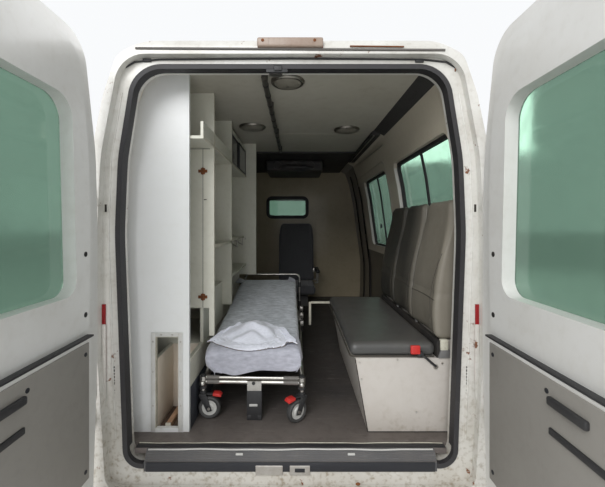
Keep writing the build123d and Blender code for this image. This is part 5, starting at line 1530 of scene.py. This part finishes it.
    def wheels(self, shop: Shop) -> None:
        """Casters with tyres, hubs, forks and red brake pedals, each turned on its stem."""
        form, (radius, trail) = Form(), self.wheel
        across = (1, 0, 0)
        shoulder, hub, pedal = radius - 0.003, 0.0398, 0.020
        tyre = [(0.040, -0.013), (0.051, -0.016), (shoulder, -0.012), (radius, 0.0), (shoulder, 0.012),
                (0.051, 0.016), (0.040, 0.013)]
        disc = [(0.009, -0.015), (0.018, -0.016), (0.024, -0.010), (hub, -0.012), (hub, 0.012), (0.024, 0.010),
                (0.018, 0.016), (0.009, 0.015)]
        leg = ((-0.016, -0.012), (0.010, -0.018), (trail + 0.018, 0.066), (trail + 0.016, 0.074),
               (trail - 0.020, 0.074))
        tread = ((-0.020, 0.080), (-0.054, 0.078), (-0.066, 0.066), (-0.062, 0.060), (-0.020, 0.067))
        for x, y, turn in self.casters:
            form.under(Matrix.Translation(spot(x, y, self.axle)) @ Matrix.Rotation(math.radians(turn), 4, "Z")
                       @ Matrix.Translation((0.0, -trail, 0.0)))
            form.on(0).lathe(tyre, (0, 0, 0), across, 40)
            form.on(1).lathe(disc, (0, 0, 0), across, 40)
            form.on(2).rod((-0.026, 0, 0), (0.026, 0, 0), 0.008, 16)
            for side, _ in SIDES[::-1]:
                corners = [Vector((side * 0.0175, dy, dz)) for dy, dz in leg]
                form.on(3).slab(corners, Vector((side * 0.0045, 0, 0)), 0.0012)
            form.block((-0.024, trail - 0.022, 0.066), (0.024, trail + 0.020, 0.077), 0.004)
            form.rod((0, trail, 0.076), (0, trail, 0.090), 0.017, 20)
            form.on(2).rod((0, trail, 0.088), (0, trail, 0.1235), 0.012, 20)
            form.on(3).block((-0.010, -0.030, 0.067), (0.010, trail, 0.075), 0.002)
            form.on(4).slab([Vector((-pedal, dy, dz)) for dy, dz in tread], Vector((2 * pedal, 0, 0)), 0.002)
        shop.piece(form, "stretcher_wheels", Finishes.caster_tyre, Finishes.caster_hub, Finishes.steel,
                   Finishes.black, Finishes.red, replaces=["stretcher_casters"], slot="caster_rubber")

    def fittings(self, shop: Shop) -> None:
        """Knobs, sockets, lock foot and latches of the frame."""
        form, low = Form(), self.low
        for x, y, _ in self.casters[:2]:
            form.on(0).ball(spot(x, y - 14, low - 5), 0.017, 18)
            form.on(1).bar((x, y, low - 32), (x, y, low - 12), 21.5, 20)
            form.bar((x, y, low + 31), (x, y, low + 38), 15, 20)
        form.on(2)
        for z, radius in ((low, 12.8), (low + 23, 11.2)):
            for x0, x1 in ((-455, -386), (-42, 38)):
                form.bar((x0, 264.8 - 0.032 * x0, z), (x1, 264.8 - 0.032 * x1, z), radius, 18)
        form.on(1).box((-237.5, -157.5), (254.5, 289.5), (555.5, 712), 3)
        form.bar((-201, 254, low), (-201, 258, low), 9, 16)
        form.on(3).box((-224, -180), (252, 256), (630, 643), 2)
        for x in (-237, -182):
            form.on(1).box((x, x + 24), (252, 292), (556, 584), 5)
        right, head, post = self.hoop
        for y, z in ((1120, 800), (1250, 826), (1380, 850)):
            form.on(0).box((right - 4, right + 30), (y, y + 46), (z, z + 40), 6)
            form.on(1).bar((right + 14, y + 22, z - 44), (right + 14, y + 22, z + 4), 7, 12)
        for z in (post, post + 180):
            form.on(1).bar((right, head, z), (right, head, z + 46), 12.5, 18)
        shop.piece(form, "stretcher_fittings", Finishes.chrome, Finishes.black, Finishes.sleeve_and_eave_shadow, Finishes.caster_hub)


@dataclass
class Chair:
    """Upholstered seat: where it stands, which way it faces and how tall it is, in millimetres.

    Base, pan, back and head each give the near and far end along the vehicle, the bottom and the top.
    """

    name: str
    x: float
    base: Ends
    pan: Ends
    back: Ends
    facing: int = -1
    half: float = 235.0
    head: Ends | None = None
    node: str = ""
    ribs: tuple[float, ...] = ()
    seam: float = 150.0
    lean: float = 0.07
    shoulder: float = 0.16

    def build(self, shop: Shop) -> None:
        """Build base, cushion, back and headrest."""
        self.stand(shop)
        y0, y1, z0, z1 = self.pan
        seams = tuple(Groove(0, (self.x + side * self.seam) / 1000, 0.006, 0.008) for side in (-1, 1))
        pan = Pad(spot(self.x - self.half, y0, z0), spot(self.x + self.half, y1, z1 - 8), radius=0.042, crown=0.012,
                  pull=0.006, cuts=29, grooves=seams, creases=0.0018)
        self.upholster(shop, "cushion", pan)
        y0, y1, z0, z1 = self.back

        def leaned(place: Vector, unit: Vector) -> Vector:
            """Lean the back and draw its shoulders in."""
            share = held((place.z * 1000 - z0) / (z1 - z0), 0.0, 1.0)
            narrow = 1 - self.shoulder * held((share - 0.72) / 0.28, 0.0, 1.0) ** 2
            place.y += -self.facing * self.lean * share
            place.x = self.x / 1000 + (place.x - self.x / 1000) * narrow
            return place

        ribs = tuple(Groove(2, z / 1000, 0.005, 0.007) for z in self.ribs)
        back = Pad(spot(self.x - self.half, y0, z0), spot(self.x + self.half, y1, z1), radius=0.04, crown=0.008,
                   pull=0.004, top=(1, self.facing), cuts=31, grooves=ribs + seams, warp=leaned, creases=0.0018)
        self.upholster(shop, "back", back)
        if self.head:
            self.headrest(shop, self.head)

    def upholster(self, shop: Shop, part: str, pad: Pad) -> None:
        """Cover a pad in seat cloth."""
        made = shop.piece(pad.form(), f"{self.name}_{part}", Finishes.seat_cloth, slot="seat_cloth", subdivide=1)

    def stand(self, shop: Shop) -> None:
        """Box, plate and side rails under the cushion."""
        y0, y1, z0, z1 = self.base
        x = self.x
        base = Form()
        base.on(0).box((x - 150, x + 150), (y0, y1), (z0, z1 - 24), 12)
        base.on(1).box((x - 190, x + 190), (y0 - 60, y1 + 20), (z1 - 26, z1 - 2), 6)
        for side in (-205, 205):
            base.box((x + side - 14, x + side + 14), (y0, y1), (z1 - 40, z1 + 18), 6)
        shop.piece(base, f"{self.name}_base", Finishes.seat_grey, Finishes.black,
                   replaces=[self.node] if self.node else [], slot="seat_cloth")

    def headrest(self, shop: Shop, head: Ends) -> None:
        """Headrest on two posts."""
        y0, y1, z0, z1 = head
        pad = Pad(spot(self.x - 118, y0, z0 + 22), spot(self.x + 118, y1, z1), radius=0.034, crown=0.006,
                  top=(1, self.facing), cuts=19)
        self.upholster(shop, "headrest", pad)
        posts, middle = Form(), (y0 + y1) / 2
        for side in (-45, 45):
            posts.bar((self.x + side, middle, z0 - 20), (self.x + side, middle, z0 + 30), 6, 12)
        shop.piece(posts, f"{self.name}_posts", Finishes.chrome)


class Seating:
    """Attendant's seat with its arm, and the two seats of the cab."""

    def build(self, shop: Shop) -> None:
        """Build the three seats."""
        Chair("attendant_seat", 20, (2800, 3040, 555.5, 742), (2562, 3050, 744, 858), (2985, 3085, 846, 1610),
              node="attendant_seat", ribs=(980, 1110, 1240, 1370, 1490)).build(shop)
        self.arm(shop)
        for name, x, node in (("driver_seat", -430.0, "cab_seats"), ("passenger_seat", 430.0, "")):
            Chair(name, x, (3560, 3960, 555.5, 790), (3534, 4036, 792, 906), (3575, 3675, 890, 1566), facing=1,
                  half=240, head=(3502, 3588, 1540, 1738), node=node, ribs=(1050, 1210, 1370)).build(shop)

    @staticmethod
    def arm(shop: Shop) -> None:
        """Arm of the attendant's seat on its bent tube."""
        form, x = Form(), 290
        form.on(0).box((266, 314), (2690, 3030), (988, 1030), 14, 3)
        form.on(1).box((240, 270), (3000, 3044), (960, 1010), 6)
        for y in (2730, 2990):
            form.bar((x, y, 870), (x, y, 990), 9, 12)
        form.run([(250, 2720, 868), (x, 2730, 868), (x, 2990, 868), (250, 3000, 868)], 9, 12)
        shop.piece(form, "attendant_arm", Finishes.black, Finishes.steel)


@dataclass
class Wheels:
    """Tyres with grooved treads, nuts and valves, measured in metres from the wheel's middle."""

    radius: float = 0.345
    half_width: float = 0.102
    rim: float = 0.1885
    groove: float = 0.008
    notch: float = 0.006
    sides: int = 96
    nuts_count: int = 6
    nuts_circle: float = 0.068
    places: tuple[tuple[str, float, float], ...] = (
        ("front_right", 860, 4640), ("front_left", -860, 4640), ("rear_right", 860, 940), ("rear_left", -860, 940))

    def build(self, shop: Shop) -> None:
        """Build the four tyres and dress what carries them."""
        shop.dress(iron="knuckle_right knuckle_left")
        for name, x, y in self.places:
            shop.dress(rim=f"rim_{name}")
            centre = spot(x, y, 345)
            self.tyre(shop, name, centre)
            self.nuts(shop, name, centre, 1 if x > 0 else -1)

    def tyre(self, shop: Shop, name: str, centre: Vector) -> None:
        """One tyre with circumferential grooves and notched shoulders."""
        r, w, rim = self.radius, self.half_width, self.rim
        rows = [(rim, w - 0.0185), (rim + 0.018, w - 0.0185), (rim + 0.030, w - 0.008), (rim + 0.060, w - 0.001),
                (rim + 0.080, w), (r - 0.050, w - 0.002), (r - 0.030, w - 0.006), (r - 0.014, w - 0.012),
                (r - 0.003, w - 0.022)]
        for middle in (0.056, 0.019):
            rows += [(r, middle + 0.0045), (r - self.groove, middle + 0.0035), (r - self.groove, middle - 0.0035),
                     (r, middle - 0.0045)]
        profile = rows + [(radius, -reach) for radius, reach in reversed(rows)]
        form = Form().lathe(profile, centre, (1, 0, 0), self.sides)
        for vert in form.bm.verts:
            out = vert.co - centre
            reach = math.hypot(out.y, out.z)
            step = round(math.atan2(out.z, out.y) / math.tau * self.sides)
            if reach > r - 0.016 and abs(out.x) > 0.058 and step % 4 == 0:
                vert.co.y -= out.y / reach * self.notch
                vert.co.z -= out.z / reach * self.notch
        shop.piece(form, f"tyre_tread_{name}", Finishes.tyre, body=f"wheel_{name}", replaces=[f"tyre_{name}"],
                   slot="tyre", smooth=28.0)

    def nuts(self, shop: Shop, name: str, centre: Vector, side: int) -> None:
        """Wheel nuts and valve."""
        form, circle = Form(), self.nuts_circle
        for turn in range(self.nuts_count):
            angle = math.tau * turn / self.nuts_count
            foot = centre + Vector((side * 0.020, circle * math.cos(angle), circle * math.sin(angle)))
            neck, end = (foot + Vector((side * reach, 0, 0)) for reach in (0.016, 0.021))
            form.on(0).rod(foot, neck, 0.0105, 6)
            form.rod(neck, end, 0.0075, 12)
        valve = [centre + Vector((side * x, y, z)) for x, y, z in ((0.050, 0.128, 0.100), (0.080, 0.136, 0.106))]
        form.on(1).rod(*valve, 0.004, 10)
        shop.piece(form, f"wheel_nuts_{name}", Finishes.steel, Finishes.black, body=f"wheel_{name}")


@dataclass
class Exterior:
    """Outside of the body and the cab, with sizes in millimetres."""

    strip: Span = (690.0, 770.0)
    strip_reach: Span = (996.0, 1006.0)
    strip_runs: tuple[tuple[int, tuple[Span, ...]], ...] = (
        (-1, ((90, 520), (1360, 3420))), (1, ((90, 520), (1412, 2712), (2738, 3420))))
    door_strip: tuple[Span, Span] = ((996.0, 3450.0), (984.0, 4205.0))
    mirror_front: float = 4246.0
    bar: Span = (3176.0, 3404.0)

    def build(self, shop: Shop) -> None:
        """Build and dress the outside."""
        shop.dress(cab_white="cab_shell cab_door_right cab_door_left", white="bonnet", screen="windscreen",
                   tint="cab_glass_right cab_glass_left", black="grille", bumper_black="front_bumper",
                   head_lens="headlamps", beacon="light_bar", underseal="chassis_frame rear_axle",
                   engine="engine_block", exhaust="tank_and_exhaust", dash="dashboard steering_wheel")
        self.mouldings(shop)
        self.mirrors(shop)
        self.wipers(shop)
        self.lamps(shop)
        self.light_bar(shop)
        self.cab(shop)

    def mouldings(self, shop: Shop) -> None:
        """Rub strips along the sides and doors, and the fuel flap."""
        names, (low, high) = dict(SIDES), self.strip
        for side, runs in self.strip_runs:
            form = Form()
            for along in runs:
                form.box(sided(side, *self.strip_reach), along, self.strip, 3)
            shop.piece(form, f"rub_strip_{names[side]}", Finishes.bumper_black)
        for side, name in SIDES:
            (x0, y0), (x1, y1) = self.door_strip
            corners = [spot(side * x, y, z) for x, y, z in ((x0, y0, low), (x1, y1, low), (x1, y1, high),
                                                            (x0, y0, high))]
            door = Form().slab(corners, Vector((side * 0.008, 0, 0)), 0.002)
            shop.piece(door, f"rub_strip_door_{name}", Finishes.bumper_black, body=f"cab_door_{name}")
        flap = Form().box((-1001.5, -997), (3120, 3290), (960, 1110), 2)
        shop.piece(flap, "fuel_flap", Finishes.cab_white)

    def mirrors(self, shop: Shop) -> None:
        """Housings, glasses and arms of the door mirrors."""
        glass = (self.mirror_front - 4.5, self.mirror_front)
        for side, name in SIDES:
            form = Form()
            for layer, across, along, up, bevel, rounds in (
                (1, (1046, 1214), (4258, 4313), (1326, 1664), 26, 3),
                (0, (1064, 1200), glass, (1430, 1645), 2, 2),
                (0, (1064, 1200), glass, (1345, 1418), 2, 2),
                (1, (940, 1078), (4272, 4310), (1381, 1414), 6, 2),
            ):
                form.on(layer).box(sided(side, *across), along, up, bevel, rounds)
            shop.piece(form, f"mirror_{name}", Finishes.mirror, Finishes.black, body=f"cab_door_{name}")

    @staticmethod
    def wipers(shop: Shop) -> None:
        """Two wipers parked on the screen."""
        form = Form()
        for x0, x1 in ((-560, 60), (40, 640)):
            form.run([(x0, 4975 - abs(x0) * 0.06, 1345), ((x0 + x1) / 2, 4970 - abs(x0 + x1) * 0.02, 1378),
                      (x1, 4940 - abs(x1) * 0.06, 1405)], 6, 8)
        shop.piece(form, "wipers", Finishes.black)

    @staticmethod
    def lamps(shop: Shop) -> None:
        """Reflector bowls and bulbs of the headlamps."""
        form = Form()
        for side, _ in SIDES:
            for x, y, r in ((540, 5428, 0.070), (690, 5352, 0.058)):
                centre, axis = spot(side * x, y, 880), Vector((side * 0.22, 1.0, 0.12)).normalized()
                bowl = [(0.012, -0.02), (r * 0.7, -0.006), (r, 0.012), (r - 0.004, 0.014), (r * 0.66, -0.002),
                        (0.012, -0.015)]
                form.on(0).lathe(bowl, centre, axis, 32)
                form.on(1).ball(centre + axis * 0.002, 0.013, 14)
        shop.piece(form, "lamp_bowls", Finishes.chrome, Finishes.lamp_white)

    def light_bar(self, shop: Shop) -> None:
        """Base and dividers of the light bar."""
        y0, y1 = self.bar
        form = Form().box((-566, 566), self.bar, (2504, 2524), 6)
        for x in (-190, 190):
            form.box((x - 14, x + 14), (y0 + 2, y1 - 2), (2520, 2599), 6)
        shop.piece(form, "light_bar_base", Finishes.black)

    @staticmethod
    def cab(shop: Shop) -> None:
        """Instrument hood, its face, centre console and vents of the cab."""
        form = Form()
        form.on(0).box((-600, -260), (4185, 4330), (1268, 1330), 20, 3)
        form.on(1).box((-580, -280), (4182, 4186), (1272, 1316), 1)
        form.box((-110, 130), (4165, 4178), (1000, 1180), 4)
        for x in (-90, 60, 640, -720):
            form.box((x - 50, x + 50), (4168, 4186), (1200, 1240), 4)
        shop.piece(form, "dash_details", Finishes.dash, Finishes.black)


def main() -> None:
    """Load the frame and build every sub-assembly."""
    logging.basicConfig(level=logging.INFO, format="%(name)s: %(message)s")
    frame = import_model()
    bpy.context.scene.view_settings.view_transform = "Standard"
    shop = Shop(Palette(), frame["nodes"])
    Studio().build()
    for part in (RearEnd(), Cabin(), Cabinet(), Bench(), Stretcher(), Seating(), Wheels(), Exterior()):
        part.build(shop)


if __name__ == "__main__":
    main()
